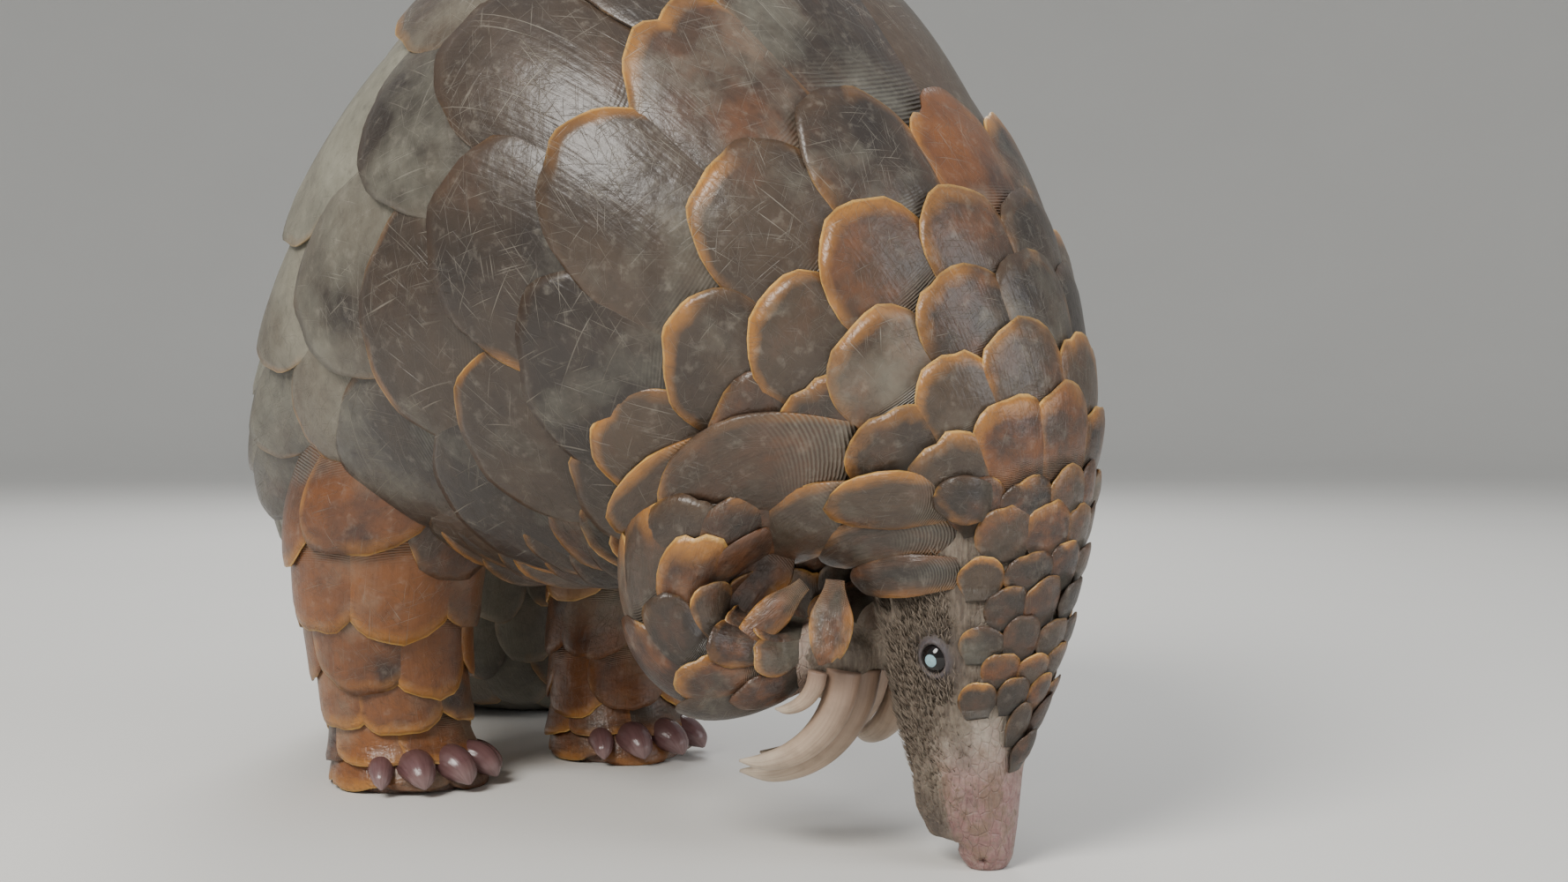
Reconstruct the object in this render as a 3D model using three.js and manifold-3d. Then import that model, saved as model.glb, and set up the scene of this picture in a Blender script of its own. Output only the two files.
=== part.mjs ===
// A life-size ground pangolin as a still model: arched over its hind feet, nose down to the floor,
// fore claws curled clear of the ground and the tail laid out behind and to the left.
// Millimetres, +Z up, the head towards +X and the animal's left towards +Y.
import * as THREE from "three";
import { mergeVertices } from "three/addons/utils/BufferGeometryUtils.js";
import Module from "manifold-3d";

const wasm = await Module();
wasm.setup();

// Neighbouring pieces stand this far apart
const GAP = 0.3;
const FLOOR_DEPTH = 60;
const RING_SIDES = 18;
// The roots of a row lie this deep under the free edges of the row before
const ROOT_DIP = 0.6;

// The trunk from the tail's tip to the nose. A row is one cross-section of the body:
// centre x, y, z, then pitch and yaw of the axis in degrees, then half width, rise above and drop below.
const TRUNK = [
  [-262, 302, 7, 0, -56, 5, 3, 4],
  [-255, 291, 9, 0, -56, 17, 8, 9],
  [-240, 266, 11, 0, -56, 30, 11.5, 11],
  [-218, 232, 13, 0, -56, 39, 14, 13],
  [-193, 193, 15, 0, -56, 46, 16.5, 15],
  [-168, 152, 17, 2, -57, 52, 19, 17],
  [-147, 110, 20, 8, -58, 56, 22, 19],
  [-131, 71, 29, 26, -56, 57, 25, 22],
  [-118, 41, 50, 50, -45, 54, 27, 23],
  [-104, 19, 82, 62, -28, 57, 32, 29],
  [-83, 3, 116, 54, -12, 71, 44, 40],
  [-54, 0, 142, 38, 0, 87, 64, 60],
  [-22, 0, 165, 22, 0, 99, 90, 88],
  [20, 0, 188, 10, 0, 107, 110, 112],
  [62, 0, 198, 0, 0, 108, 118, 121],
  [102, 0, 186, -9, 0, 101, 102, 104],
  [133, 0, 168, -18, 0, 89, 82, 84],
  [156, 0, 152, -28, 0, 74, 66, 66],
  [172, -1, 136, -40, 0, 60, 54, 53],
  [184, -2, 119, -54, 0, 47, 45, 43],
  [190, -3, 102, -69, 0, 36, 37, 35],
  [192, -4.5, 85, -80, 0, 29.5, 32, 31],
  [192, -6, 64, -88, 0, 24.5, 27, 27],
  [191, -7, 43, -90, 0, 19.5, 21.5, 22],
  [191.5, -8, 28, -90, 0, 15.5, 17, 18],
  [193.5, -8, 14.5, -90, 0, 13, 13.5, 17.5],
  [196.5, -8, 7.5, -90, 0, 10, 10, 9.5],
  [198, -8, 1.5, -90, 0, 7.6, 7.6, 7],
  [198.5, -8, -2.5, -90, 0, 4, 4, 4],
];

// A hind leg of the left side from the hip to the sole
const HIND_LEG = [
  [-22, 46, 140, -90, 0, 42, 50, 44],
  [-34, 54, 104, -90, 0, 38, 42, 38],
  [-40, 54, 72, -90, 0, 32, 33, 31],
  [-43, 50, 44, -90, 0, 27, 27, 26],
  [-42, 47, 20, -90, 0, 24, 25, 24],
  [-40, 46, 6, -90, 0, 25, 28, 24],
  [-39, 46, -4, -90, 0, 24, 27, 23],
];
const HIND_ADVANCE = { left: 16, right: 0 };

// A foreleg of the left side from the shoulder to the elbow and the knuckles
const FORE_LEG = [
  [134, 34, 134, -80, 0, 30, 34, 32],
  [124, 44, 104, -86, -4, 30, 26, 30],
  [119, 51, 82, -66, -16, 24, 17, 25],
  [125, 50, 65, -26, -28, 21, 14, 21],
  [141, 40, 62, 6, -34, 16, 12, 15],
  [153, 32, 65, -8, -28, 14, 10.5, 12.5],
  [161, 27, 62, -44, -24, 13, 9.5, 9.5],
  [164, 25.5, 57, -64, -22, 10, 6.5, 6.5],
];
const FORE_ADVANCE = { left: -22, right: 0 };

// Where the trunk is parted, as places along TRUNK
const TRUNK_PARTS = {
  tail_tip: [0, 3.5],
  tail_middle: [3.5, 6.5],
  tail_base: [6.5, 9.6],
  torso_rear: [9.6, 13.4],
  torso_front: [13.4, 16.6],
  neck: [16.6, 19.4],
  head: [19.4, 28],
};

// The limbs are parted at these places along their own tables
const LIMB_PARTS = {
  hind_leg: { pair: "hind", span: [2.2, 4.3] },
  hind_foot: { pair: "hind", span: [4.3, 6] },
  fore_arm: { pair: "fore", span: [2.1, 4.2] },
  fore_hand: { pair: "fore", span: [4.2, 7] },
};
const SLAB_MARGINS = { torso_rear: 50, neck: 40, fore_arm_left: 14, fore_arm_right: 14 };
const PLAIN_SLAB_MARGIN = 9;
const LOOSE_VOLUME = 1500;

const numbersAt = (table, at) => {
  const last = table.length - 1;
  const place = THREE.MathUtils.clamp(at, 0, last);
  const step = Math.min(Math.floor(place), last - 1);
  const share = place - step;
  const row = (i) => table[THREE.MathUtils.clamp(i, 0, last)];
  return table[0].map((_, column) => {
    const [a, b, c, d] = [-1, 0, 1, 2].map((k) => row(step + k)[column]);
    const bend = 2 * b + (c - a) * share;
    const square = (2 * a - 5 * b + 4 * c - d) * share ** 2;
    return 0.5 * (bend + square + (3 * b - a - 3 * c + d) * share ** 3);
  });
};

// A body swept along a bent axis. Round a section, angle 0 is its top and 180 degrees its underside.
class Sweep {
  constructor(table, { side = 1, advance = 0, belly = 1 } = {}) {
    this.table = table;
    this.side = side;
    this.advance = advance;
    this.belly = belly;
    this.last = table.length - 1;
  }

  section(at) {
    const [x, y, z, pitchDegrees, yawDegrees, half, rise, drop] = numbersAt(this.table, at);
    const pitch = THREE.MathUtils.degToRad(pitchDegrees);
    const yaw = THREE.MathUtils.degToRad(yawDegrees) * this.side;
    const along = new THREE.Vector3(
      Math.cos(pitch) * Math.cos(yaw),
      Math.cos(pitch) * Math.sin(yaw),
      Math.sin(pitch),
    );
    const left = new THREE.Vector3(-Math.sin(yaw), Math.cos(yaw), 0);
    const up = new THREE.Vector3().crossVectors(along, left);
    const centre = new THREE.Vector3(x + this.advance, y * this.side, z);
    return { centre, along, left, up, half, rise, drop };
  }

  skin(at, angle, grow = 0) {
    const { centre, left, up, half, rise, drop } = this.section(at);
    const cosine = Math.cos(angle);
    const above = (rise + grow) * cosine;
    const below = -(drop + grow) * Math.abs(cosine) ** this.belly;
    return centre
      .clone()
      .addScaledVector(left, (half + grow) * Math.sin(angle))
      .addScaledVector(up, cosine >= 0 ? above : below);
  }

  // A point over the skin, out along its normal
  raised(at, angle, height) {
    const small = 0.02;
    const here = this.skin(at, angle);
    const along = this.skin(at + small, angle).sub(this.skin(at - small, angle));
    const around = this.skin(at, angle + small).sub(this.skin(at, angle - small));
    const normal = around.cross(along).normalize();
    const outward = here.clone().sub(this.section(at).centre);
    if (normal.dot(outward) < 0) normal.negate();
    return here.addScaledVector(normal, height);
  }

  // Millimetres of skin for one unit along the table and for one radian round the section
  pace(at, angle) {
    const small = 0.05;
    const along = this.skin(at + small, angle).distanceTo(this.skin(at - small, angle));
    const around = this.skin(at, angle + small).distanceTo(this.skin(at, angle - small));
    return [along / (2 * small), around / (2 * small)];
  }

  // The angle at a share of the way round one side, 0 at the top and 1 at the underside
  angleAt(at, share) {
    const steps = 48;
    const lengths = [0];
    let before = this.skin(at, 0);
    for (let i = 1; i <= steps; i += 1) {
      const point = this.skin(at, (i / steps) * Math.PI);
      lengths.push(lengths[i - 1] + point.distanceTo(before));
      before = point;
    }
    const wanted = Math.min(Math.abs(share), 1) * lengths[steps];
    const step = Math.max(
      lengths.findIndex((length) => length >= wanted - 1e-9),
      1,
    );
    const part = (wanted - lengths[step - 1]) / (lengths[step] - lengths[step - 1]);
    return (Math.sign(share) * (step - 1 + part) * Math.PI) / steps;
  }

  solid({ from = 0, to = this.last, rings = 2 * this.last, grow = 0, sides = RING_SIDES } = {}) {
    const points = [];
    for (let i = 0; i <= rings; i += 1) {
      const at = THREE.MathUtils.lerp(from, to, i / rings);
      for (let k = 0; k < sides; k += 1) {
        points.push(this.skin(at, (k / sides) * 2 * Math.PI, grow));
      }
    }
    points.push(this.section(from).centre, this.section(to).centre);
    const faces = [];
    for (let k = 0; k < sides; k += 1) {
      const next = (k + 1) % sides;
      for (let i = 0; i < rings; i += 1) {
        const a = i * sides;
        const b = a + sides;
        faces.push([a + k, b + next, b + k], [a + k, a + next, b + next]);
      }
      faces.push([points.length - 2, next, k]);
      faces.push([points.length - 1, rings * sides + k, rings * sides + next]);
    }
    return solidOf(points, faces);
  }
}

function solidOf(points, faces) {
  const made = new wasm.Manifold(
    new wasm.Mesh({
      numProp: 3,
      vertProperties: new Float32Array(points.flatMap((p) => [p.x, p.y, p.z])),
      triVerts: new Uint32Array(faces.flat()),
    }),
  );
  if (made.volume() > 0) return made;
  return solidOf(
    points,
    faces.map(([a, b, c]) => [a, c, b]),
  );
}

function solidOfGeometry(geometry) {
  const bare = geometry.clone();
  bare.deleteAttribute("normal");
  bare.deleteAttribute("uv");
  const merged = mergeVertices(bare, 1e-4);
  const points = [];
  for (let i = 0; i < merged.attributes.position.count; i += 1) {
    points.push(new THREE.Vector3().fromBufferAttribute(merged.attributes.position, i));
  }
  const faces = [];
  for (let i = 0; i < merged.index.count; i += 3) {
    faces.push([0, 1, 2].map((k) => merged.index.getX(i + k)));
  }
  return solidOf(points, faces);
}

const joined = (solids) => wasm.Manifold.union(solids);

const largest = (solid) =>
  solid.decompose().reduce((most, piece) => (piece.volume() > most.volume() ? piece : most));

const middle = (solid) => {
  const { min, max } = solid.boundingBox();
  return new THREE.Vector3(...min).add(new THREE.Vector3(...max)).multiplyScalar(0.5);
};

// A seeded random number from -1 to 1
let seed = 20417;
function wobble() {
  seed = (seed * 1664525 + 1013904223) % 4294967296;
  return (seed / 4294967296) * 2 - 1;
}

// The free edge of one plate from notch to notch, as shares of its overlap
const EDGE = [0, 0.92, 0.92];

// A sweep clad in overlapping horny plates. Each row ends in a scalloped free edge that stands proud of the
// next row's roots, and the plates of neighbouring rows lie half a plate round from each other.
// rows are places along the table, in the order from the roots towards the free edges.
function cladSolid(sweep, { rows, plates, overlap, lift, raised, before = [], after = [] }) {
  const around = plates * EDGE.length;
  const points = [];
  const spots = [];
  const faces = [];
  const shareOf = (turn) => {
    const share = ((2 * turn) / around) % 2;
    return share > 1 ? share - 2 : share;
  };
  const put = (at, turn, height) => {
    points.push(sweep.raised(at, sweep.angleAt(at, shareOf(turn)), height));
    spots.push([turn, at]);
    return points.length - 1;
  };
  const away = (a, b) => {
    const turn = spots[b][0] - spots[a][0];
    return [turn - around * Math.round(turn / around), spots[b][1] - spots[a][1]];
  };
  // The smaller of two triangles as laid out flat, below zero where one of them is folded over
  const least = (pair, facing) =>
    Math.min(
      ...pair.map(([a, b, c]) => {
        const [x, y] = away(a, b);
        const [u, v] = away(a, c);
        return facing * (x * v - y * u);
      }),
    );
  const facing = Math.sign(rows.at(-1) - rows[0]);
  const strip = (upper, lower) => {
    for (let m = 0; m < around; m += 1) {
      const next = (m + 1) % around;
      const [a, b, c, d] = [upper[m], upper[next], lower[next], lower[m]];
      const one = [
        [a, b, c],
        [a, c, d],
      ];
      const other = [
        [a, b, d],
        [b, c, d],
      ];
      const better = least(other, facing) > least(one, facing) ? other : one;
      faces.push(...better.filter((face) => new Set(face).size === 3));
    }
  };
  const cap = (edge, at, flip) => {
    points.push(sweep.section(at).centre);
    spots.push([0, at]);
    for (let m = 0; m < around; m += 1) {
      const fan = [points.length - 1, edge[m], edge[(m + 1) % around]];
      faces.push(flip ? fan.reverse() : fan);
    }
  };
  let edge = null;
  const join = (next) => {
    if (edge) strip(edge, next);
    else cap(next, before[0] ?? rows[0], true);
    edge = next;
  };
  const plainRing = (at) => join(Array.from({ length: around }, (_, m) => put(at, m, 0)));
  before.forEach(plainRing);
  rows.forEach((row, i) => {
    const first = i % 2;
    const shift = first / 2;
    const gap = i + 1 < rows.length ? rows[i + 1] - row : row - rows[i - 1];
    const made = Array.from({ length: plates }, (_, k) => {
      const here = raised(row, Math.abs(shareOf((k + 0.5) * EDGE.length + first + shift)));
      return {
        height: here ? lift(row) * (1 + 0.22 * wobble()) : 0,
        reach: here ? gap * overlap * (1 + 0.12 * wobble()) : 0,
        lean: 0.15 * wobble(),
      };
    });
    const high = [];
    const low = [];
    for (let m = 0; m < around; m += 1) {
      const place = (m - first + around) % around;
      const k = Math.floor(place / EDGE.length);
      const corner = place % EDGE.length;
      const [plate, beside] = [made[k], made[(k - 1 + plates) % plates]];
      const height = corner === 0 ? Math.min(plate.height, beside.height) : plate.height;
      const at = row + plate.reach * EDGE[corner];
      const turn = m + shift + (corner ? plate.lean : 0);
      high.push(put(at, turn, height));
      low.push(height ? put(at, turn, -ROOT_DIP) : high[m]);
    }
    join(high);
    join(low);
  });
  after.forEach(plainRing);
  cap(edge, after.at(-1) ?? rows.at(-1), false);
  return solidOf(points, faces);
}

// A value read off a table of [place, value] rows
function readOff(table, at) {
  const next = table.findIndex(([place]) => place >= at);
  if (next <= 0) return next ? table.at(-1)[1] : table[0][1];
  const [before, after] = [table[next - 1], table[next]];
  return THREE.MathUtils.mapLinear(at, before[0], after[0], before[1], after[1]);
}

// Places for the rows, spaced by a share of the half width there
function rowPlaces(sweep, from, to, shareAt, least = 0) {
  const places = [];
  let at = from;
  while ((to - at) * Math.sign(to - from) > 0) {
    places.push(at);
    const step = Math.max(shareAt(at) * sweep.section(at).half, least);
    at += (Math.sign(to - from) * step) / sweep.pace(at, 0)[0];
  }
  return places;
}

const ROOT_OF_TAIL = 9.9;
const END_OF_CROWN = 23.4;

// Along TRUNK, how far the plates reach round each side
const PLATE_REACH = [
  [9.4, 1.1],
  [9.5, 0.88],
  [15, 0.84],
  [17, 0.74],
  [19, 0.64],
  [20.3, 0.42],
  [21.5, 0.35],
  [22.8, 0.33],
  [24, 0.2],
];

// Along TRUNK, the pitch of the plates' rows as a share of the half width
const PLATE_PITCH = [
  [9.9, 0.48],
  [12, 0.54],
  [16, 0.52],
  [18.5, 0.42],
  [23.4, 0.38],
];

const trunk = new Sweep(TRUNK, { belly: 0.85 });
const SIDES = { left: 1, right: -1 };
const limbs = Object.entries(SIDES).map(([name, side]) => ({
  name,
  side,
  hind: new Sweep(HIND_LEG, { side, advance: HIND_ADVANCE[name] }),
  fore: new Sweep(FORE_LEG, { side, advance: FORE_ADVANCE[name] }),
}));

// Curved nails and claws: a swept horn that tapers to a blunt tip while its axis turns downwards
function horn({ base, yaw, pitches, length, half, thick }) {
  const steps = 6;
  const rows = [];
  const point = new THREE.Vector3(...base);
  const facing = THREE.MathUtils.degToRad(yaw);
  for (let i = 0; i <= steps; i += 1) {
    const share = i / steps;
    const pitchDegrees = THREE.MathUtils.lerp(pitches[0], pitches[1], share);
    const pitch = THREE.MathUtils.degToRad(pitchDegrees);
    const taper = (1 - share ** 1.8) ** 0.6 * 0.92 + 0.08;
    rows.push([...point.toArray(), pitchDegrees, yaw, half * taper, thick * taper, thick * taper * 0.8]);
    const along = new THREE.Vector3(
      Math.cos(pitch) * Math.cos(facing),
      Math.cos(pitch) * Math.sin(facing),
      Math.sin(pitch),
    );
    point.addScaledVector(along, length / steps);
  }
  return rows;
}

// Fore claws from the inner to the outer one: offset across the hand, length, half width, set back
const FORE_CLAWS = [
  { offset: -17.4, length: 21, half: 2.9, back: 7 },
  { offset: -10.8, length: 52, half: 5.2, back: 2 },
  { offset: 0, length: 59, half: 6, back: 0 },
  { offset: 10.8, length: 50, half: 5.2, back: 2 },
  { offset: 17.4, length: 20, half: 2.9, back: 8 },
];
const FORE_CLAW_YAW = -22;
const FORE_CLAW_PITCHES = [-100, -192];

// Hind nails from the inner to the outer one: turn round the foot in degrees, half width
const HIND_NAILS = [
  { turn: -62, half: 4.2 },
  { turn: -33, half: 5.6 },
  { turn: 0, half: 6 },
  { turn: 33, half: 5.6 },
  { turn: 62, half: 4.2 },
];
const HIND_NAIL_LENGTH = 15;
const FOOT_NAIL_HEIGHT = 9;

// Eyes, ears, mouth and nostrils: places along TRUNK and angles from the crown in degrees
const EYE = { at: 21.95, angle: 84, radius: 5.6, sunk: 3.7, lid: 5.4, lidTube: 1.5, lidLong: 1.18 };
const EAR = { at: 20.95, angle: 116, long: 8.5, wide: 5.5, thick: 4, wall: 1.5, cup: 2.2 };
const MOUTH = { corner: 23.9, front: 25.87, reach: 66, groove: 1.1, lip: 2, sunk: 1.1, steps: 3 };
const NOSTRIL = { at: 26.75, angle: 60, radius: 1.4, deep: 3.6 };

const pieces = new Map();

const pitchAt = (at) => readOff(PLATE_PITCH, at);
const trunkRows = [
  ...rowPlaces(trunk, END_OF_CROWN, ROOT_OF_TAIL, pitchAt, 12),
  ...rowPlaces(trunk, ROOT_OF_TAIL, 0.6, pitchAt, 18),
];
const cladTrunk = cladSolid(trunk, {
  rows: trunkRows,
  plates: 11,
  overlap: 0.76,
  lift: (at) => Math.min(0.07 * trunk.section(at).half + 0.8, 6),
  raised: (at, share) => share < readOff(PLATE_REACH, at),
  before: [28, 27.1, 26.5, 25.8, 24.8],
  after: [0.3, 0],
});
const cladLimb = (sweep, rows, limit, before, after) =>
  cladSolid(sweep, {
    rows,
    plates: 6,
    overlap: 0.76,
    lift: () => 3.5,
    raised: (at, share) => share < limit,
    before,
    after,
  });
const limbSolids = limbs.flatMap(({ hind, fore }) => [
  cladLimb(hind, rowPlaces(hind, 1, 4.4, () => 0.75), 1.1, [0], [5.2, 6]),
  cladLimb(fore, rowPlaces(fore, 4.3, 1.6, () => 0.62), 0.8, [7, 6.5, 6, 5.5, 5, 4.6], [0.8, 0]),
]);

const belowFloor = solidOfGeometry(
  new THREE.BoxGeometry(1500, 1500, FLOOR_DEPTH).translate(0, 0, -FLOOR_DEPTH / 2),
);

let body = joined([cladTrunk, ...limbSolids]);

// A frame on the skin: its normal, the way towards the nose, and the way round the section
function standOn(sweep, at, degrees, height) {
  const angle = THREE.MathUtils.degToRad(degrees);
  const point = sweep.raised(at, angle, height);
  const normal = sweep.raised(at, angle, height + 1).sub(point).normalize();
  const { along } = sweep.section(at);
  const across = new THREE.Vector3().crossVectors(normal, along).normalize();
  const forward = new THREE.Vector3().crossVectors(across, normal);
  return new THREE.Matrix4().makeBasis(forward, across, normal).setPosition(point);
}

const onSkin = (geometry, at, degrees, height) =>
  solidOfGeometry(geometry.applyMatrix4(standOn(trunk, at, degrees, height)));

for (const [name, side] of Object.entries(SIDES)) {
  const eyeAngle = EYE.angle * side;
  const ball = (grow) =>
    onSkin(new THREE.SphereGeometry(EYE.radius + grow, 10, 7), EYE.at, eyeAngle, -EYE.sunk);
  const lids = new THREE.TorusGeometry(EYE.lid, EYE.lidTube, 4, 10).scale(EYE.lidLong, 1, 1);
  body = body.add(onSkin(lids, EYE.at, eyeAngle, 0.2)).subtract(ball(GAP));
  pieces.set(`eye_${name}`, ball(0));

  const earAngle = EAR.angle * side;
  const shell = (grow) => {
    const bowl = new THREE.SphereGeometry(1, 8, 5);
    return onSkin(bowl.scale(EAR.long + grow, EAR.wide + grow, EAR.thick + grow), EAR.at, earAngle, 0);
  };
  const hollow = new THREE.SphereGeometry(1, 8, 5);
  hollow.scale(EAR.long - EAR.wall, EAR.wide - EAR.wall, EAR.thick);
  pieces.set(`ear_${name}`, shell(0).subtract(onSkin(hollow, EAR.at, earAngle, EAR.cup)));
  body = body.subtract(shell(GAP));

  const nostril = new THREE.SphereGeometry(1, 7, 5);
  nostril.scale(NOSTRIL.radius * 1.5, NOSTRIL.radius, NOSTRIL.deep);
  body = body.subtract(onSkin(nostril, NOSTRIL.at, NOSTRIL.angle * side, 0));
}

// The mouth is a groove between lips, in a U round the underside of the snout
function rod(points, radius) {
  const rods = points.slice(1).map((end, i) => {
    const span = end.clone().sub(points[i]);
    const capsule = new THREE.CapsuleGeometry(radius, span.length(), 1, 6);
    const upright = new THREE.Vector3(0, 1, 0);
    const turn = new THREE.Quaternion().setFromUnitVectors(upright, span.clone().normalize());
    capsule.applyQuaternion(turn);
    capsule.translate(...end.clone().add(points[i]).multiplyScalar(0.5).toArray());
    return solidOfGeometry(capsule);
  });
  return joined(rods);
}

const mouthLine = (sunk) => {
  const line = [];
  for (let i = -MOUTH.steps; i <= MOUTH.steps; i += 1) {
    const share = i / MOUTH.steps;
    const at = THREE.MathUtils.lerp(MOUTH.front, MOUTH.corner, share ** 2);
    line.push(trunk.raised(at, THREE.MathUtils.degToRad(180 + MOUTH.reach * share), -sunk));
  }
  return line;
};
body = body.add(rod(mouthLine(MOUTH.sunk), MOUTH.lip)).subtract(rod(mouthLine(0), MOUTH.groove));

// Nails and claws, each in a socket of the foot that carries it
const horns = [];
for (const { name, side, hind, fore } of limbs) {
  const palm = fore.section(6.4);
  const yaw = THREE.MathUtils.degToRad(FORE_CLAW_YAW);
  FORE_CLAWS.forEach(({ offset, length, half, back }, i) => {
    const table = horn({
      base: [
        palm.centre.x - offset * Math.sin(yaw) - back * Math.cos(yaw),
        palm.centre.y * side + offset * Math.cos(yaw) - back * Math.sin(yaw),
        palm.centre.z,
      ],
      yaw: FORE_CLAW_YAW,
      pitches: FORE_CLAW_PITCHES,
      length,
      half,
      thick: half * 1.15,
    });
    horns.push({ name: `claw_fore_${name}_${i + 1}`, sweep: new Sweep(table, { side }) });
  });
  const foot = hind.section(5);
  HIND_NAILS.forEach(({ turn, half }, i) => {
    const angle = THREE.MathUtils.degToRad(turn);
    const reach = new THREE.Vector2(foot.rise * Math.cos(angle), foot.half * Math.sin(angle));
    const table = horn({
      base: [foot.centre.x + reach.x * 0.86, foot.centre.y * side + reach.y * 0.86, FOOT_NAIL_HEIGHT],
      yaw: turn * 0.6,
      pitches: [4, -62],
      length: HIND_NAIL_LENGTH,
      half,
      thick: half * 0.85,
    });
    horns.push({ name: `nail_hind_${name}_${i + 1}`, sweep: new Sweep(table, { side }) });
  });
}
for (const { name, sweep } of horns) {
  pieces.set(name, sweep.solid({ rings: 4, sides: 6 }).subtract(belowFloor));
}
body = body.subtract(joined(horns.map(({ sweep }) => sweep.solid({ rings: 4, sides: 6, grow: GAP }))));
body = body.subtract(belowFloor);

// Thin slabs part the body where a name begins, and the piece nearest to a span's middle takes the name
const spans = Object.entries(TRUNK_PARTS).map(([name, span]) => ({ name, sweep: trunk, span }));
for (const limb of limbs) {
  for (const [part, { pair, span }] of Object.entries(LIMB_PARTS)) {
    spans.push({ name: `${part}_${limb.name}`, sweep: limb[pair], span });
  }
}
const slabs = spans.slice(1).map(({ name, sweep, span: [from] }) => {
  const { centre, along, left, up, half, rise, drop } = sweep.section(from);
  const margin = SLAB_MARGINS[name] ?? PLAIN_SLAB_MARGIN;
  const slab = new THREE.BoxGeometry(GAP, 2 * (half + margin), 2 * (Math.max(rise, drop) + margin));
  slab.applyMatrix4(new THREE.Matrix4().makeBasis(along, left, up).setPosition(centre));
  return solidOfGeometry(slab);
});
const parted = body.subtract(joined(slabs)).decompose().filter((piece) => piece.volume() > LOOSE_VOLUME);
for (const { name, sweep, span: [from, to] } of spans) {
  const { centre } = sweep.section((from + to) / 2);
  const distance = (piece) => middle(piece).distanceTo(centre);
  pieces.set(
    name,
    parted.reduce((best, piece) => (distance(piece) < distance(best) ? piece : best)),
  );
}

const SLOTS = {
  scales: { color: "#6b5040", roughness: 0.5 },
  horn: { color: "#d8c6a4", roughness: 0.4 },
  nails: { color: "#7d6068", roughness: 0.25 },
  skin: { color: "#b59a8c", roughness: 0.75 },
  eye: { color: "#14161b", roughness: 0.05 },
};
const slotOf = (name) => {
  if (name.startsWith("claw")) return "horn";
  if (name.startsWith("nail")) return "nails";
  if (name.startsWith("eye")) return "eye";
  if (name.startsWith("ear") || name.startsWith("fore_hand") || name.startsWith("hind_foot")) return "skin";
  return "scales";
};

const model = new THREE.Group();
for (const [name, solid] of pieces) {
  const mesh = solid.getMesh();
  const geometry = new THREE.BufferGeometry();
  geometry.setAttribute("position", new THREE.BufferAttribute(new Float32Array(mesh.vertProperties), 3));
  geometry.setIndex(new THREE.BufferAttribute(new Uint32Array(mesh.triVerts), 1));
  const material = new THREE.MeshStandardMaterial({ ...SLOTS[slotOf(name)], metalness: 0 });
  const node = new THREE.Mesh(geometry, material);
  node.name = name;
  model.add(node);
}

// The origin is the middle of the footprint, at floor level
const bounds = new THREE.Box3().setFromObject(model);
const footing = bounds.getCenter(new THREE.Vector3()).setZ(bounds.min.z);
for (const node of model.children) node.geometry.translate(-footing.x, -footing.y, -footing.z);

export default model;
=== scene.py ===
import math
import bpy
import bmesh
import numpy as np
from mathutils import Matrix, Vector

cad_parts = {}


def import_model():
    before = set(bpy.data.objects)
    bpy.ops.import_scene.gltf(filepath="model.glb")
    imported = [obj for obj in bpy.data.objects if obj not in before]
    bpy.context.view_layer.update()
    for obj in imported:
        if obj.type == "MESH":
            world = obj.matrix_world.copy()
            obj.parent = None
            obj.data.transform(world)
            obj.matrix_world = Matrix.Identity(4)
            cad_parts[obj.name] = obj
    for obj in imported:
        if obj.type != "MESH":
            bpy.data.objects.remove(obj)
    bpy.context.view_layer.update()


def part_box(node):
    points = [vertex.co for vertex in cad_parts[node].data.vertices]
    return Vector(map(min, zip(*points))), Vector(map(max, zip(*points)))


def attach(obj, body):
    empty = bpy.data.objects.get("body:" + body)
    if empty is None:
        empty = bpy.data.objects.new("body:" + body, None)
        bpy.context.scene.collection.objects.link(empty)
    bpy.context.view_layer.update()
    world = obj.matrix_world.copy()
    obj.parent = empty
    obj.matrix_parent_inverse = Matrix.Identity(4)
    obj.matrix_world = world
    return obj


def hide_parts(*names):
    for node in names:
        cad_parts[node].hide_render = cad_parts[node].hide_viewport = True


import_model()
mm = 0.001
tiny = 1e-9
dice = np.random.default_rng(20417)

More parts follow.
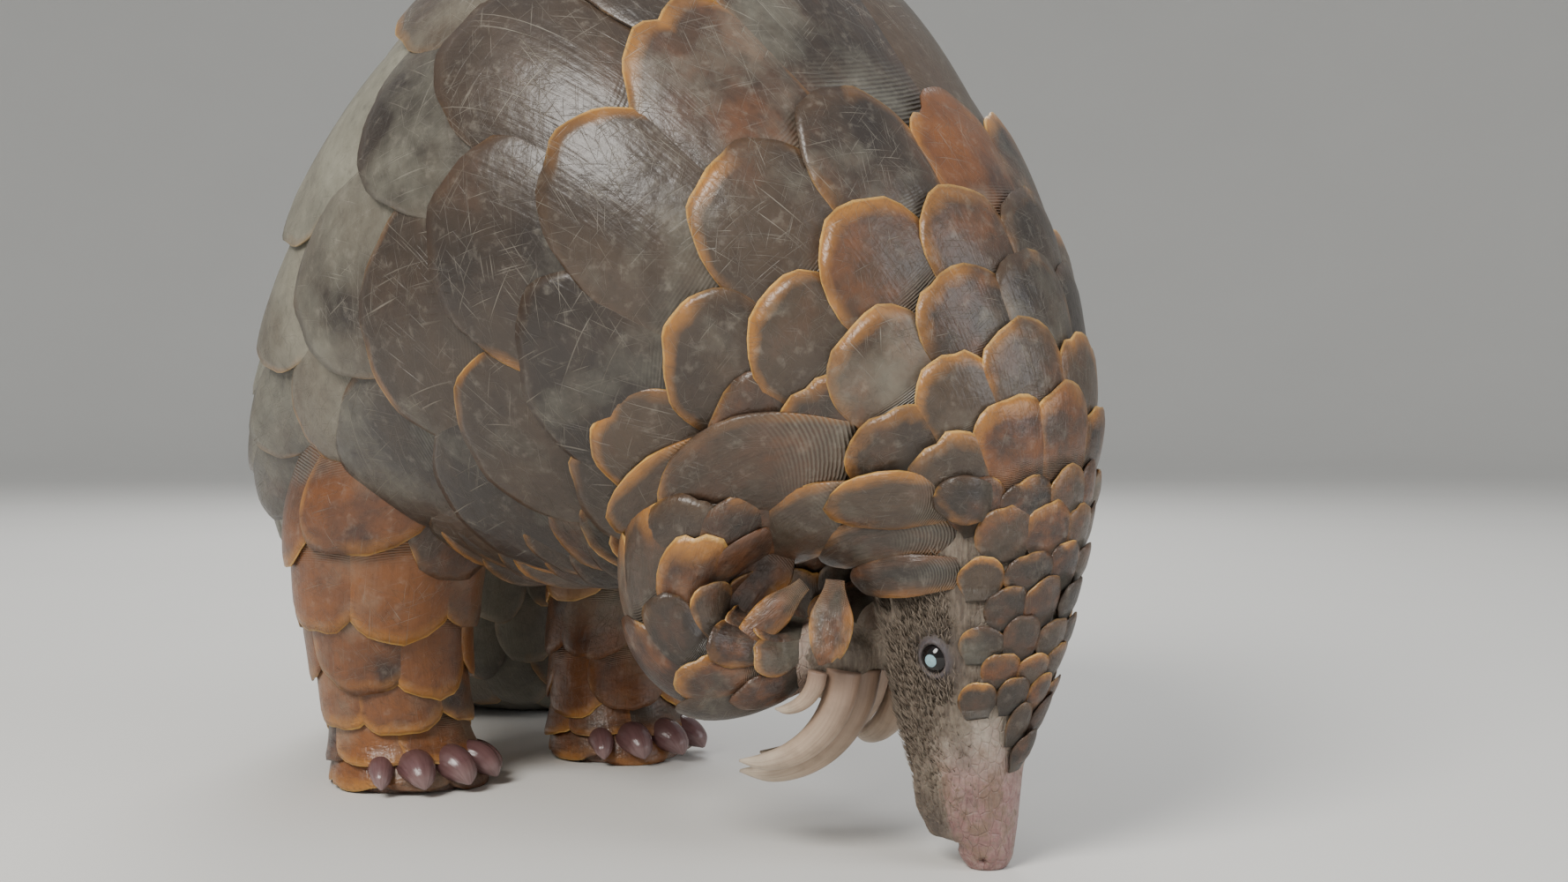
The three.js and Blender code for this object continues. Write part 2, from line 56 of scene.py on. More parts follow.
# Stations of the body: x, y, z, pitch, yaw, half width, rise, drop
trunkTable = [
    [-262, 302, 7, 0, -56, 5, 3, 4],
    [-255, 291, 9, 0, -56, 17, 8, 9],
    [-240, 266, 11, 0, -56, 30, 11.5, 11],
    [-218, 232, 13, 0, -56, 39, 14, 13],
    [-193, 193, 15, 0, -56, 46, 16.5, 15],
    [-168, 152, 17, 2, -57, 52, 19, 17],
    [-147, 110, 20, 8, -58, 56, 22, 19],
    [-131, 71, 29, 26, -56, 57, 25, 22],
    [-118, 41, 50, 50, -45, 54, 27, 23],
    [-104, 19, 82, 62, -28, 57, 32, 29],
    [-83, 3, 116, 54, -12, 71, 44, 40],
    [-54, 0, 142, 38, 0, 87, 64, 60],
    [-22, 0, 165, 22, 0, 99, 90, 88],
    [20, 0, 188, 10, 0, 107, 110, 112],
    [62, 0, 198, 0, 0, 108, 118, 121],
    [102, 0, 186, -9, 0, 101, 102, 104],
    [133, 0, 168, -18, 0, 89, 82, 84],
    [156, 0, 152, -28, 0, 74, 66, 66],
    [172, -1, 136, -40, 0, 60, 54, 53],
    [184, -2, 119, -54, 0, 47, 45, 43],
    [190, -3, 102, -69, 0, 36, 37, 35],
    [192, -4.5, 85, -80, 0, 29.5, 32, 31],
    [192, -6, 64, -88, 0, 24.5, 27, 27],
    [191, -7, 43, -90, 0, 19.5, 21.5, 22],
    [191.5, -8, 28, -90, 0, 15.5, 17, 18],
    [193.5, -8, 14.5, -90, 0, 13, 13.5, 17.5],
    [196.5, -8, 7.5, -90, 0, 10, 10, 9.5],
    [198, -8, 1.5, -90, 0, 7.6, 7.6, 7],
    [198.5, -8, -2.5, -90, 0, 4, 4, 4],
]
hindTable = [
    [-22, 46, 140, -90, 0, 42, 50, 44],
    [-34, 54, 104, -90, 0, 38, 42, 38],
    [-40, 54, 72, -90, 0, 32, 33, 31],
    [-43, 50, 44, -90, 0, 27, 27, 26],
    [-42, 47, 20, -90, 0, 24, 25, 24],
    [-40, 46, 6, -90, 0, 25, 28, 24],
    [-39, 46, -4, -90, 0, 24, 27, 23],
]
foreTable = [
    [134, 34, 134, -80, 0, 30, 34, 32],
    [124, 44, 104, -86, -4, 30, 26, 30],
    [119, 51, 82, -66, -16, 24, 17, 25],
    [125, 50, 65, -26, -28, 21, 14, 21],
    [141, 40, 62, 6, -34, 16, 12, 15],
    [153, 32, 65, -8, -28, 14, 10.5, 12.5],
    [161, 27, 62, -44, -24, 13, 9.5, 9.5],
    [164, 25.5, 57, -64, -22, 10, 6.5, 6.5],
]


def heading(pitch, yaw):
    return np.stack([np.cos(pitch) * np.cos(yaw), np.cos(pitch) * np.sin(yaw), np.sin(pitch)], -1)


def unit(vectors, extra=0):
    return vectors / (np.linalg.norm(vectors, axis=-1, keepdims=True) + extra)


class Sweep:
    # a body swept along its stations; share 0 is its top, 1 and -1 its underside
    def __init__(self, table, side=1, advance=0, belly=1, steps=30, around=96):
        self.table = np.array(table, float)
        self.last = len(table) - 1
        self.steps = steps
        self.around = around
        self.at = np.linspace(0, self.last, self.last * steps + 1)
        rows = self.numbers(self.at)
        pitch, yaw = np.radians(rows[:, 3]), np.radians(rows[:, 4]) * side
        self.along = heading(pitch, yaw)
        self.left = np.stack([-np.sin(yaw), np.cos(yaw), 0 * yaw], 1)
        self.up = np.cross(self.along, self.left)
        self.centre = np.stack([rows[:, 0] + advance, rows[:, 1] * side, rows[:, 2]], 1)
        self.half, self.rise, self.drop = rows[:, 5], rows[:, 6], rows[:, 7]
        self.belly = belly
        fine = np.linspace(0, math.pi, 181)
        way = self.ring(np.tile(fine, (len(self.at), 1)))
        strides = np.linalg.norm(np.diff(way, axis=1), axis=2)
        far = np.concatenate([np.zeros((len(self.at), 1)), np.cumsum(strides, 1)], 1)
        self.girth = 2 * far[:, -1]
        half = np.linspace(0, 1, around + 1)
        angle = np.stack([np.interp(half * d[-1], d, fine) for d in far])
        self.angle = np.concatenate([-angle[:, :0:-1], angle], 1)
        self.skin = self.ring(self.angle)
        down, across = np.gradient(self.skin, axis=0), np.gradient(self.skin, axis=1)
        normal = unit(np.cross(across, down), tiny)
        outward = self.skin - self.centre[:, None]
        self.normal = normal * np.sign((normal * outward).sum(2, keepdims=True) + tiny)

    def numbers(self, at):
        step = np.minimum(at.astype(int), self.last - 1)
        share = (at - step)[:, None]
        a, b, c, d = [self.table[np.clip(step + k, 0, self.last)] for k in (-1, 0, 1, 2)]
        square = (2 * a - 5 * b + 4 * c - d) * share ** 2
        return 0.5 * (2 * b + (c - a) * share + square + (3 * b - a - 3 * c + d) * share ** 3)

    def ring(self, angle):
        cosine = np.cos(angle)
        drop = -self.drop[:, None] * np.abs(cosine) ** self.belly
        rise = np.where(cosine > 0, self.rise[:, None] * cosine, drop)
        wide = self.half[:, None] * np.sin(angle)
        return self.centre[:, None] + self.left[:, None] * wide[..., None] + self.up[:, None] * rise[..., None]

    def blend(self, grid, at, share):
        row = np.clip(np.asarray(at, float) * self.steps, 0, len(self.at) - 1.001)
        col = ((np.asarray(share, float) + 1) % 2) * self.around
        r, c = row.astype(int), col.astype(int) % (2 * self.around)
        fr, fc = (row - r)[..., None], (col - np.floor(col))[..., None]
        top = grid[r, c] * (1 - fc) + grid[r, c + 1] * fc
        low = grid[r + 1, c] * (1 - fc) + grid[r + 1, c + 1] * fc
        return top * (1 - fr) + low * fr

    def place(self, at, share, height=0):  # millimetres of the tables
        at, share, height = np.broadcast_arrays(np.asarray(at, float), share, height)
        normal = unit(self.blend(self.normal, at, share), tiny)
        return self.blend(self.skin, at, share) + normal * height[..., None]

    def shareAt(self, at, degrees):
        row = self.angle[int(round(at * self.steps))]
        return float(np.interp(math.radians(degrees), row, np.linspace(-1, 1, 2 * self.around + 1)))

    def value(self, column, at):
        return np.interp(at, self.at, column)

    def pace(self, at):  # millimetres for one unit along the back
        far = np.linalg.norm(np.gradient(self.skin[:, self.around], axis=0), axis=1) * self.steps
        return np.interp(at, self.at, far)

    def rows(self, start, end, share, least):  # a share of the half width apart, at least some millimetres
        places, at, way = [], start, math.copysign(1, end - start)
        while (end - at) * way > 0:
            places.append(at)
            at += way * max(share(at) * self.value(self.half, at), least) / float(self.pace(at))
        return np.array(places)


trunk = Sweep(trunkTable, belly=0.85)
sides = {"left": 1, "right": -1}
advance = {"hind": {"left": 16, "right": 0}, "fore": {"left": -22, "right": 0}}
hind = {name: Sweep(hindTable, side, advance["hind"][name]) for name, side in sides.items()}
fore = {name: Sweep(foreTable, side, advance["fore"][name]) for name, side in sides.items()}

eyeSet = {"at": 21.95, "angle": 84, "radius": 5.6, "sunk": 3.7, "cornea": 0.78, "bulge": 0.035}
eyeShare = trunk.shareAt(eyeSet["at"], eyeSet["angle"])
eyeHome = {name: trunk.place(eyeSet["at"], eyeShare * side, -eyeSet["sunk"]) for name, side in sides.items()}
low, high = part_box("eye_right")
shift = (np.array(low) + np.array(high)) / 2 - eyeHome["right"] * mm
shift[2] = 0


def world(points):
    return np.asarray(points) * mm + shift


def placed(name, data):
    thing = bpy.data.objects.new(name, data)
    bpy.context.collection.objects.link(thing)
    return thing


def meshOf(bm, name):
    mesh = bpy.data.meshes.new(name)
    bm.to_mesh(mesh)
    bm.free()
    mesh.polygons.foreach_set("use_smooth", [True] * len(mesh.polygons))
    return mesh


def closeHoles(bm):
    bmesh.ops.holes_fill(bm, edges=[e for e in bm.edges if e.is_boundary], sides=0)


def splitWide(bm):  # faces with more than four corners
    bmesh.ops.triangulate(bm, faces=[f for f in bm.faces if len(f.verts) > 4])


def cutBelow(bm, floor):
    everything = bm.verts[:] + bm.edges[:] + bm.faces[:]
    bmesh.ops.bisect_plane(bm, geom=everything, plane_co=(0, 0, floor), plane_no=(0, 0, -1), clear_outer=True)


def meshFrom(name, points, faces, maps):
    mesh = bpy.data.meshes.new(name)
    mesh.from_pydata([tuple(p) for p in points], [], [tuple(f) for f in faces])
    mesh.update()
    loops = np.zeros(len(mesh.loops), int)
    mesh.loops.foreach_get("vertex_index", loops)
    for key, values in maps.items():
        layer = mesh.uv_layers.new(name=key)
        layer.data.foreach_set("uv", np.asarray(values, np.float32)[loops].ravel())
    mesh.polygons.foreach_set("use_smooth", [True] * len(mesh.polygons))
    return mesh


def pieceOf(name, mesh, material, nodes=()):
    piece = placed(name, mesh)
    mesh.materials.clear()
    mesh.materials.append(material)
    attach(piece, "root")
    if nodes:
        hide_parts(*nodes)


class Wire:
    # one output of a shader, with the operators of plain arithmetic
    def __init__(self, paint, socket):
        self.paint, self.socket = paint, socket

    def calc(self, kind, a, b):
        return self.paint.add("Math", {0: a, 1: b}, {"operation": kind})

    __add__ = __radd__ = lambda self, other: self.calc("ADD", self, other)
    __mul__ = __rmul__ = lambda self, other: self.calc("MULTIPLY", self, other)
    __sub__ = lambda self, other: self.calc("SUBTRACT", self, other)
    __rsub__ = lambda self, other: self.calc("SUBTRACT", other, self)
    __truediv__ = lambda self, other: self.calc("DIVIDE", self, other)


class Paint:
    # one material; its colours are named by their key in the look
    def __init__(self, name, look=None):
        self.look = look or {}
        self.material = bpy.data.materials.new(name)
        self.material.use_nodes = True
        self.tree = self.material.node_tree
        self.tree.nodes.clear()
        self.object = self.add("TexCoord", {}, out="Object")

    def add(self, kind, sockets, settings=None, out=0):
        node = self.tree.nodes.new("ShaderNode" + kind)
        for key, value in (settings or {}).items():
            setattr(node, key, value)
        for key, value in sockets.items():
            if isinstance(value, Wire):
                self.tree.links.new(value.socket, node.inputs[key])
            else:
                node.inputs[key].default_value = value
        return Wire(self, node.outputs[out])

    def mix(self, factor, a, b):
        a, b = self.look.get(a, a), self.look.get(b, b)
        return self.add("Mix", {0: factor, 6: a, 7: b}, {"data_type": "RGBA"}, 2)

    def layers(self, base, *coats):  # each coat is its mask and its colour
        for mask, colour in coats:
            base = self.mix(mask, base, colour)
        return base

    def between(self, value, low, high, a=0, b=1):
        return self.add("MapRange", {0: value, 1: low, 2: high, 3: a, 4: b}, {"clamp": True})

    def mapped(self, coords, scale=(1, 1, 1), turn=(0, 0, 0), move=(0, 0, 0)):
        return self.add("Mapping", {"Vector": coords, "Location": move, "Rotation": turn, "Scale": scale})

    def noise(self, coords, scale, detail=3, rough=0.55, warp=0):
        sockets = {"Vector": coords, "Scale": scale, "Detail": detail, "Roughness": rough, "Distortion": warp}
        return self.add("TexNoise", sockets)

    def uv(self, name):
        wire = self.add("UVMap", {}, {"uv_map": name})
        return [self.add("SeparateXYZ", {0: wire}, out=out) for out in (0, 1)]

    def colour(self, name):
        wire = self.add("Attribute", {}, {"attribute_name": name})
        return [self.add("SeparateColor", {0: wire}, out=out) for out in range(3)]

    def join(self, x, y, z=0):
        return self.add("CombineXYZ", {0: x, 1: y, 2: z})

    def bump(self, height, distance, strength):
        return self.add("Bump", {"Height": height, "Distance": distance, "Strength": strength})

    def finish(self, colour, roughness, normal=None, **fixed):
        sockets = {"Base Color": colour, "Roughness": roughness}
        if normal:
            sockets["Normal"] = normal
        sockets.update({key.replace("_", " "): value for key, value in fixed.items()})
        shader = self.add("BsdfPrincipled", sockets)
        out = self.tree.nodes.new("ShaderNodeOutputMaterial")
        self.tree.links.new(shader.socket, out.inputs["Surface"])
        return self.material


scaleLook = {
    "heart": (0.032, 0.025, 0.021, 1), "brown": (0.078, 0.054, 0.037, 1), "red": (0.115, 0.04, 0.021, 1),
    "rust": (0.235, 0.088, 0.026, 1), "amber": (0.38, 0.165, 0.038, 1), "rim": (0.76, 0.46, 0.13, 1),
    "dust": (0.29, 0.28, 0.22, 1), "scratch": (0.42, 0.38, 0.31, 1), "pit": (0.02, 0.014, 0.011, 1),
    "scratches": ((0.3, 1), (0.95, 1.4), (1.5, 0.9), (2.15, 1.2), (2.8, 1.6)), "ridge": 0.0008,
    "rings": {"Scale": 17, "Distortion": 1.3, "Detail": 2, "Detail Scale": 2},
}


def scaleMaterial(look):
    paint = Paint("horn_scales", look)
    between, noise = paint.between, paint.noise
    across, along = paint.uv("plate")
    edge, chance = paint.uv("wear")
    warm, dusty = paint.uv("tone")
    spread = paint.join(across + chance * 37, along + chance * 11, chance * 5)
    blot = noise(spread, 2.2, 4, 0.6)
    fine = noise(paint.object, 220, 4, 0.65)
    # the worn margin shines amber in places, but not where the tone of the dust is below 0
    ragged = noise(spread, 5, 3)
    patch = between(noise(spread, 1.7, 2) + warm * 0.14 + (chance - 0.5) * 0.26, 0.47, 0.66)
    patch = patch * between(dusty, -0.12, 0)
    margin = between(edge + (ragged - 0.5) * 0.45 - warm * 0.18, 0, 0.4, 1, 0)
    lip = between(edge + (ragged - 0.5) * 0.1, 0, 0.075, 1, 0)
    # fine scratches in every direction over the worn outer part
    lines = None
    for turn, dense in look["scratches"]:
        turned = paint.mapped(spread, (1, 1, 1), (0, 0, turn), (dense, dense, 0))
        streak = noise(paint.mapped(turned, (2.6 * dense, 120 * dense, 1)), 1, 1, 0.5, 0.15)
        line = between(streak, 0.68, 0.735)
        lines = line if lines is None else lines.calc("MAXIMUM", lines, line)
    worn = between(noise(spread, 3.1, 2), 0.35, 0.62, 0.25, 1)
    lines = lines * worn * between(along, 0.25, 0.6)
    # dust lies over the back and in the roots
    cloud = noise(paint.object, 26, 5, 0.65)
    soil = between(cloud + dusty * 0.8 - along * 0.12, 0.52, 1.05)
    # growth rings across the root
    ringed = {"Vector": paint.join(across * 0.45, along + across * (1 - across) * 0.35), **look["rings"]}
    rings = paint.add("TexWave", ringed, {"bands_direction": "Y"}, "Fac")
    rooted = between(along + (blot - 0.5) * 0.3, 0.38, 0.2) * between(warm, 0.2, 0.45, 0.25, 1)
    base = paint.layers(
        "heart",
        (between(blot + chance * 0.45, 0.45, 0.95), "brown"),
        (between(blot * 0.8 + warm, 0.72, 1.25), "red"),
        (between(warm + (blot - 0.5) * 0.9, 0.45, 0.85, 0, 0.85), "rust"),
        (margin * (patch * 0.85 + 0.06), "amber"),
        (lip * patch * 0.85, "rim"),
        (lines * 0.36, "scratch"),
        (soil * 0.85, "dust"),
        (between(fine, 0.56, 0.74, 0, 0.18), "scratch"),
        (between(fine, 0.26, 0.46, 0.3, 0), "pit"),
        (rings * rooted * 0.32, "dust"))
    ribs = noise(paint.join(across * 40 + chance * 50, along * 2.2, chance * 9), 1, 2)
    height = rings * rooted * 0.45 + ribs * 0.22 + lines * -0.3 + fine * 0.3 + ragged * 0.7 + blot * 0.8
    roughness = between(lines * 0.5 + soil * 0.7 + fine * 0.35, 0.1, 1, 0.3, 0.66)
    return paint.finish(base, roughness, paint.bump(height, look["ridge"], 0.9))


def plateGrid(across, along):
    u, v = np.meshgrid(np.linspace(-1, 1, across + 1), np.linspace(0, 1, along + 1), indexing="ij")
    index = np.arange((across + 1) * (along + 1)).reshape(across + 1, along + 1)
    corners = index[:-1, :-1], index[1:, :-1], index[1:, 1:], index[:-1, 1:]
    top = np.stack([corner.ravel() for corner in corners], 1)
    under = top[:, ::-1] + index.size
    rim = np.concatenate([index[:, 0], index[-1, 1:], index[-2::-1, -1], index[0, -2:0:-1]])
    after = np.roll(rim, -1)
    wall = np.stack([after, rim, rim + index.size, after + index.size], 1)
    return u.ravel()[None], v.ravel()[None], np.concatenate([top, under, wall])


# The worn free edge: waves as height and number, then chips
edgeSet = {"waves": ((0.02, 4.7), (0.013, 10.3), (0.007, 21)),
           "chips": 2, "chipAt": 0.85, "chipDeep": (0.015, 0.05), "chipWide": 0.07, "chipChance": 0.5}


def bump(value, middle, width):
    return np.exp(-(((value - middle) / width) ** 2))


def plateOutline(u, v, corner, point, root, ragged=1):
    # reach runs from 0 at the root to 1 at the free edge, side from -1 to 1 across the plate
    n = len(corner)
    swing, crest = np.sin(u * math.pi / 2), np.cos(u * math.pi / 2)
    edge = corner + (1 - corner) * crest ** point
    phase = dice.random((n, 3)) * 2 * math.pi
    worn = sum(high * np.sin(u * turns + phase[:, i:i + 1]) for i, (high, turns) in enumerate(edgeSet["waves"]))
    for _ in range(edgeSet["chips"]):
        spot = dice.uniform(-edgeSet["chipAt"], edgeSet["chipAt"], (n, 1))
        deep = dice.uniform(*edgeSet["chipDeep"], (n, 1))
        deep = deep * (dice.random((n, 1)) < edgeSet["chipChance"])
        worn = worn - deep * bump(u, spot, edgeSet["chipWide"])
    reach = v * (edge + ragged * worn * (0.3 + 0.7 * crest))
    neck = np.clip(reach / 0.5, 0, 1)
    side = swing * (root + (1 - root) * neck * neck * (3 - 2 * neck))
    return edge, reach, side, swing


# How thin plates get at the rim, and how high over the floor they stay, in millimetres
rimSet = {"thin": 0.42, "thinWide": 5, "bevel": 0.45, "bevelWide": 1.1, "wear": 14,
          "floorTop": 0.15, "floorLow": 0.75}


def plateMesh(name, grid, shape, top, low, rimMm, wideMm, tone, material):
    u, v, faces = grid
    _, reach, side, _ = shape
    top[..., 2] = np.maximum(top[..., 2], rimSet["floorTop"])
    low[..., 2] = np.maximum(low[..., 2], rimSet["floorLow"])
    n, size = top.shape[:2]
    points = world(np.concatenate([top, low], 1))
    allFaces = (faces[None] + (np.arange(n) * 2 * size)[:, None, None]).reshape(-1, 4)
    corners = faces[len(faces) // 4]
    first = points[0][corners]
    outward = np.cross(first[1] - first[0], first[2] - first[0])
    if np.dot(outward, first[0] - points[0][corners[0] + size]) < 0:
        allFaces = allFaces[:, ::-1]
    two = lambda values: np.concatenate([np.broadcast_to(values, (n, size))] * 2, 1).ravel()
    cols = math.ceil(math.sqrt(n))
    cell = np.arange(n)[:, None]
    maps = {
        "OFBake": ((cell % cols + 0.5 + 0.44 * u) / cols, (cell // cols + 0.06 + 0.88 * v) / cols),
        "plate": (side * 0.5 + 0.5, reach),
        "wear": (np.clip(rimMm / np.minimum(wideMm, rimSet["wear"]), 0, 1), dice.random((n, 1))),
        "tone": tone,
    }
    maps = {key: np.stack([two(a), two(b)], 1) for key, (a, b) in maps.items()}
    mesh = meshFrom(name, points.reshape(-1, 3), allFaces, maps)
    print("plates", name, n, "faces", len(allFaces))
    pieceOf(name, mesh, material)


def platesOn(name, sweep, plates, across, along, material):
    grid = plateGrid(across, along)
    u, v, _ = grid
    col = {key: np.asarray(values, float)[:, None] for key, values in plates.items()}
    shape = plateOutline(u, v, col["corner"], col["point"], col["root"])
    edge, reach, side, swing = shape
    x, y = side + col["roll"] * (reach - 0.5) * 0.9, reach - col["roll"] * side * 0.45
    wideMm = col["wide"] * np.interp(plates["at"], sweep.at, sweep.girth)[:, None] / 2
    longMm = np.abs(col["long"]) * sweep.pace(plates["at"])[:, None]
    rimMm = np.minimum((1 - v) * edge * longMm, (1 - np.abs(swing)) * wideMm * 1.2 + (1 - v) * 3)
    lift = col["dip"] + (col["lift"] - col["dip"]) * reach ** 1.15
    dome = col["dome"] * ((1 - side ** 2) * np.clip(reach * 2.2, 0, 1) - 0.35 * reach ** 3)
    height = lift + dome + col["tilt"] * side * (0.3 + 0.7 * reach)
    height = height - rimSet["bevel"] * np.exp(-rimMm / rimSet["bevelWide"])
    thick = col["thick"] * (1 - (1 - rimSet["thin"]) * np.exp(-rimMm / rimSet["thinWide"]))
    at, share = col["at"] + col["long"] * y, col["share"] + col["wide"] * x
    top, low = sweep.place(at, share, height), sweep.place(at, share, height - thick)
    plateMesh(name, grid, shape, top, low, rimMm, wideMm, (col["warm"], col["dust"]), material)


def plateRows(sweep, rows, style, keep, tone):
    made, count = [], style["count"]
    for i, at in enumerate(rows):
        gap = rows[i + 1] - at if i + 1 < len(rows) else at - rows[i - 1]
        half = float(sweep.value(sweep.half, at))
        for k in range(count):
            share = ((k + 0.5 * (i % 2)) * 2 / count + 1) % 2 - 1
            if not keep(at, abs(share)):
                continue
            loose = dice.normal(0, 1, 10)
            share += 0.05 * loose[0] * 2 / count
            root = at + gap * 0.07 * loose[1]
            warm, dust = tone(sweep.place(root, share), at)
            made.append({
                "at": root, "share": share, "warm": warm, "dust": dust,
                "dip": style["dip"], "root": style["root"], "thick": style["thick"](half),
                "wide": style["wide"] / count * (1 + 0.07 * loose[2]),
                "long": gap * style["long"] * (1 + 0.06 * loose[3]),
                "lift": style["lift"](half) * (1 + 0.1 * loose[4]),
                "tilt": style["tilt"] * math.copysign(1, share) * (1 + 0.4 * loose[5]),
                "roll": style["roll"] * loose[6],
                "corner": style["corner"] + 0.04 * loose[7],
                "dome": style["dome"](half) * (1 + 0.2 * loose[8]),
                "point": style["point"] * (1 + 0.1 * loose[9]),
            })
    return {key: np.array([plate[key] for plate in made]) for key in made[0]}


# Widths and lengths as shares of the plates' spacing, heights in millimetres
horn = scaleMaterial(scaleLook)
trunkStyle = {
    "count": 12, "wide": 1.22, "long": 1.8, "lift": lambda half: min(0.058 * half + 0.8, 6), "dip": -1.2,
    "thick": lambda half: min(0.9 + 0.012 * half, 2), "dome": lambda half: min(0.022 * half + 0.4, 2.6),
    "tilt": 0.7, "roll": 0.07, "corner": 0.4, "point": 0.75, "root": 0.8,
    "pitch": lambda at: np.interp(at, [9.9, 12, 16, 18.5, 20], [0.46, 0.59, 0.58, 0.43, 0.4]),
    "limit": ([14.5, 15, 16, 17, 19, 19.4, 20.3], [0.86, 0.84, 0.78, 0.74, 0.64, 0.54, 0.4]),
}
crownStyle = {
    "count": 14, "pitch": lambda at: 0.38, "wide": 1.16, "long": 1.5, "lift": lambda half: 1.15, "dip": -0.8,
    "thick": lambda half: 0.9, "dome": lambda half: 1.2, "tilt": 0.2, "roll": 0.1, "corner": 0.42, "point": 0.9,
    "root": 0.62, "limit": ([20.3, 21.5, 22.8, 23.2, 23.4, 24.2], [0.36, 0.33, 0.3, 0.28, 0.13, 0.08]),
}
crownFrom, bodyFrom, tailTo, tailPitch = 20.35, 9.9, 0.35, 0.44
ringedTo = 9.4  # up to here the plates go all round


def crownLimit(at):  # the share where the plates end
    return np.where(at > crownFrom, np.interp(at, *crownStyle["limit"]), np.interp(at, *trunkStyle["limit"]))


def trunkTone(point, at):  # how warm, how dusty
    x, _, z = point
    low = np.clip((150 - z) / 80, 0, 1)
    front = np.clip((x - 110) / 70, 0, 1)
    haunch = np.clip((20 - x) / 40, 0, 1) * np.clip((165 - z) / 60, 0, 1)
    warm = 0.1 + 0.14 * low + 0.24 * front + 0.4 * haunch + dice.normal(0, 0.09)
    dust = 0.06 + 0.78 * np.clip((130 - x) / 125, 0, 1) * np.clip((z - 120) / 120, 0, 1) + dice.normal(0, 0.06)
    if at < 10:
        warm, dust = 0.16 + dice.normal(0, 0.09), 0.4 + dice.normal(0, 0.07)
    if at > 20.3:
        warm, dust = 0.38 + dice.normal(0, 0.07), -0.04 + dice.normal(0, 0.06)
    return warm, dust


crownRows = trunk.rows(23.9, crownFrom, crownStyle["pitch"], 8.6)
bodyRows = trunk.rows(crownRows[-1] - 0.42, bodyFrom, trunkStyle["pitch"], 10)
tailRows = trunk.rows(bodyRows[-1] - 0.45, tailTo, lambda at: tailPitch, 11)
keepPlate = lambda at, share: at < ringedTo or share < crownLimit(at)
crownPlates = plateRows(trunk, crownRows, crownStyle, keepPlate, trunkTone)
platesOn("scales_crown", trunk, crownPlates, 14, 12, horn)
trunkPlates = plateRows(trunk, np.concatenate([bodyRows, tailRows]), trunkStyle, keepPlate, trunkTone)
# Pieces of the trunk: from, to, cuts across and along each plate
spans = {
    "scales_tail_end": (0, 4.6, 14, 10), "scales_tail": (4.6, 9.6, 14, 10), "scales_rump": (9.6, 12.6, 28, 16),
    "scales_back": (12.6, 15.2, 28, 16), "scales_shoulder": (15.2, 18, 28, 16), "scales_neck": (18, 21, 14, 10),
}
for name, (first, end, across, along) in spans.items():
    picked = (trunkPlates["at"] >= first) & (trunkPlates["at"] < end)
    platesOn(name, trunk, {key: values[picked] for key, values in trunkPlates.items()}, across, along, horn)

# A fringe of narrow pointed plates along the belly line; its shape as middle and spread
fringeSet = {"from": 15.6, "to": 11.6, "step": 0.21, "loose": 0.03, "share": 0.845, "ragged": 0.022}
fringeStyle = {
    "wide": (0.062, 0.006), "long": (-0.52, 0.05), "lift": (7, 1.2), "dip": (-1, 0), "thick": (1.3, 0),
    "dome": (1.6, 0.2), "tilt": (0, 0.3), "roll": (0, 0.12), "corner": (0.32, 0.03), "point": (1, 0.05),
    "root": (0.62, 0), "warm": (0.36, 0.08), "dust": (0.08, 0.03),
}
for name, side in sides.items():
    at = np.arange(fringeSet["from"], fringeSet["to"], -fringeSet["step"])
    n = len(at)
    ragged = fringeSet["ragged"] * np.where(np.arange(n) % 2, 1, -1)
    fringe = {"at": at + dice.normal(0, fringeSet["loose"], n), "share": side * (fringeSet["share"] + ragged)}
    for key, (middle, spread) in fringeStyle.items():
        fringe[key] = middle + dice.normal(0, spread, n)
    platesOn(f"scales_fringe_{name}", trunk, fringe, 14, 12, horn)

limbStyle = {
    "hind": {"count": 6, "pitch": 0.78, "from": 0.3, "to": 5.2, "end": 2, "wide": 1.3, "long": 1.75,
             "corner": 0.44, "point": 0.8},
    "fore": {"count": 9, "pitch": 0.46, "from": 4.6, "to": 0.9, "end": 0.85, "wide": 1.35, "long": 1.8,
             "corner": 0.42, "point": 0.85},
    "all": {"lift": lambda half: 3.4, "dip": -1.2, "thick": lambda half: 1.3, "dome": lambda half: 1.2,
            "tilt": 0.4, "roll": 0.09, "root": 0.8},
}
limbTone = {
    "hind": lambda point, at: (0.62 + 0.14 * at / 5 + dice.normal(0, 0.14), 0.1 + dice.normal(0, 0.05)),
    "fore": lambda point, at: (0.38 + dice.normal(0, 0.1), 0.06 + dice.normal(0, 0.05)),
}
for name in sides:
    for limb, sweep in (("hind", hind[name]), ("fore", fore[name])):
        style = {**limbStyle["all"], **limbStyle[limb]}
        rows = sweep.rows(style["from"], style["to"], lambda at: style["pitch"], 10)
        plates = plateRows(sweep, rows, style, lambda at, share: share < style["end"], limbTone[limb])
        platesOn(f"scales_{limb}_{name}", sweep, plates, 16, 12, horn)

# Long loose scales: root and tip on the trunk as (station, share, height), then width, how warm
leafSet = {
    "cheek_upper": ((20.35, 0.36, -3.5), (19.15, 0.79, 6.5), 16.5, 0.34),
    "cheek_lower": ((20.85, 0.33, -3.5), (20.4, 0.73, 5.5), 13.5, 0.36),
    "jowl": ((20.00, 0.24, -2), (19.65, 0.38, 2.2), 15, 0.3),
    "cheek_top": ((19.9, 0.34, -3), (18.9, 0.6, 5), 19, 0.3),
    "throat_first": ((19.6, 0.5, -3), (17.7, 0.83, 8.5), 26, 0.34),
    "throat_second": ((18.7, 0.6, -3), (16.9, 0.8, 10), 30, 0.46),
    "shoulder_first": ((18.7, 0.5, -2.5), (16.3, 0.75, 6), 37, 0.38),
    "shoulder_second": ((17.4, 0.62, -2.5), (15.45, 0.79, 5.5), 34, 0.36),
}
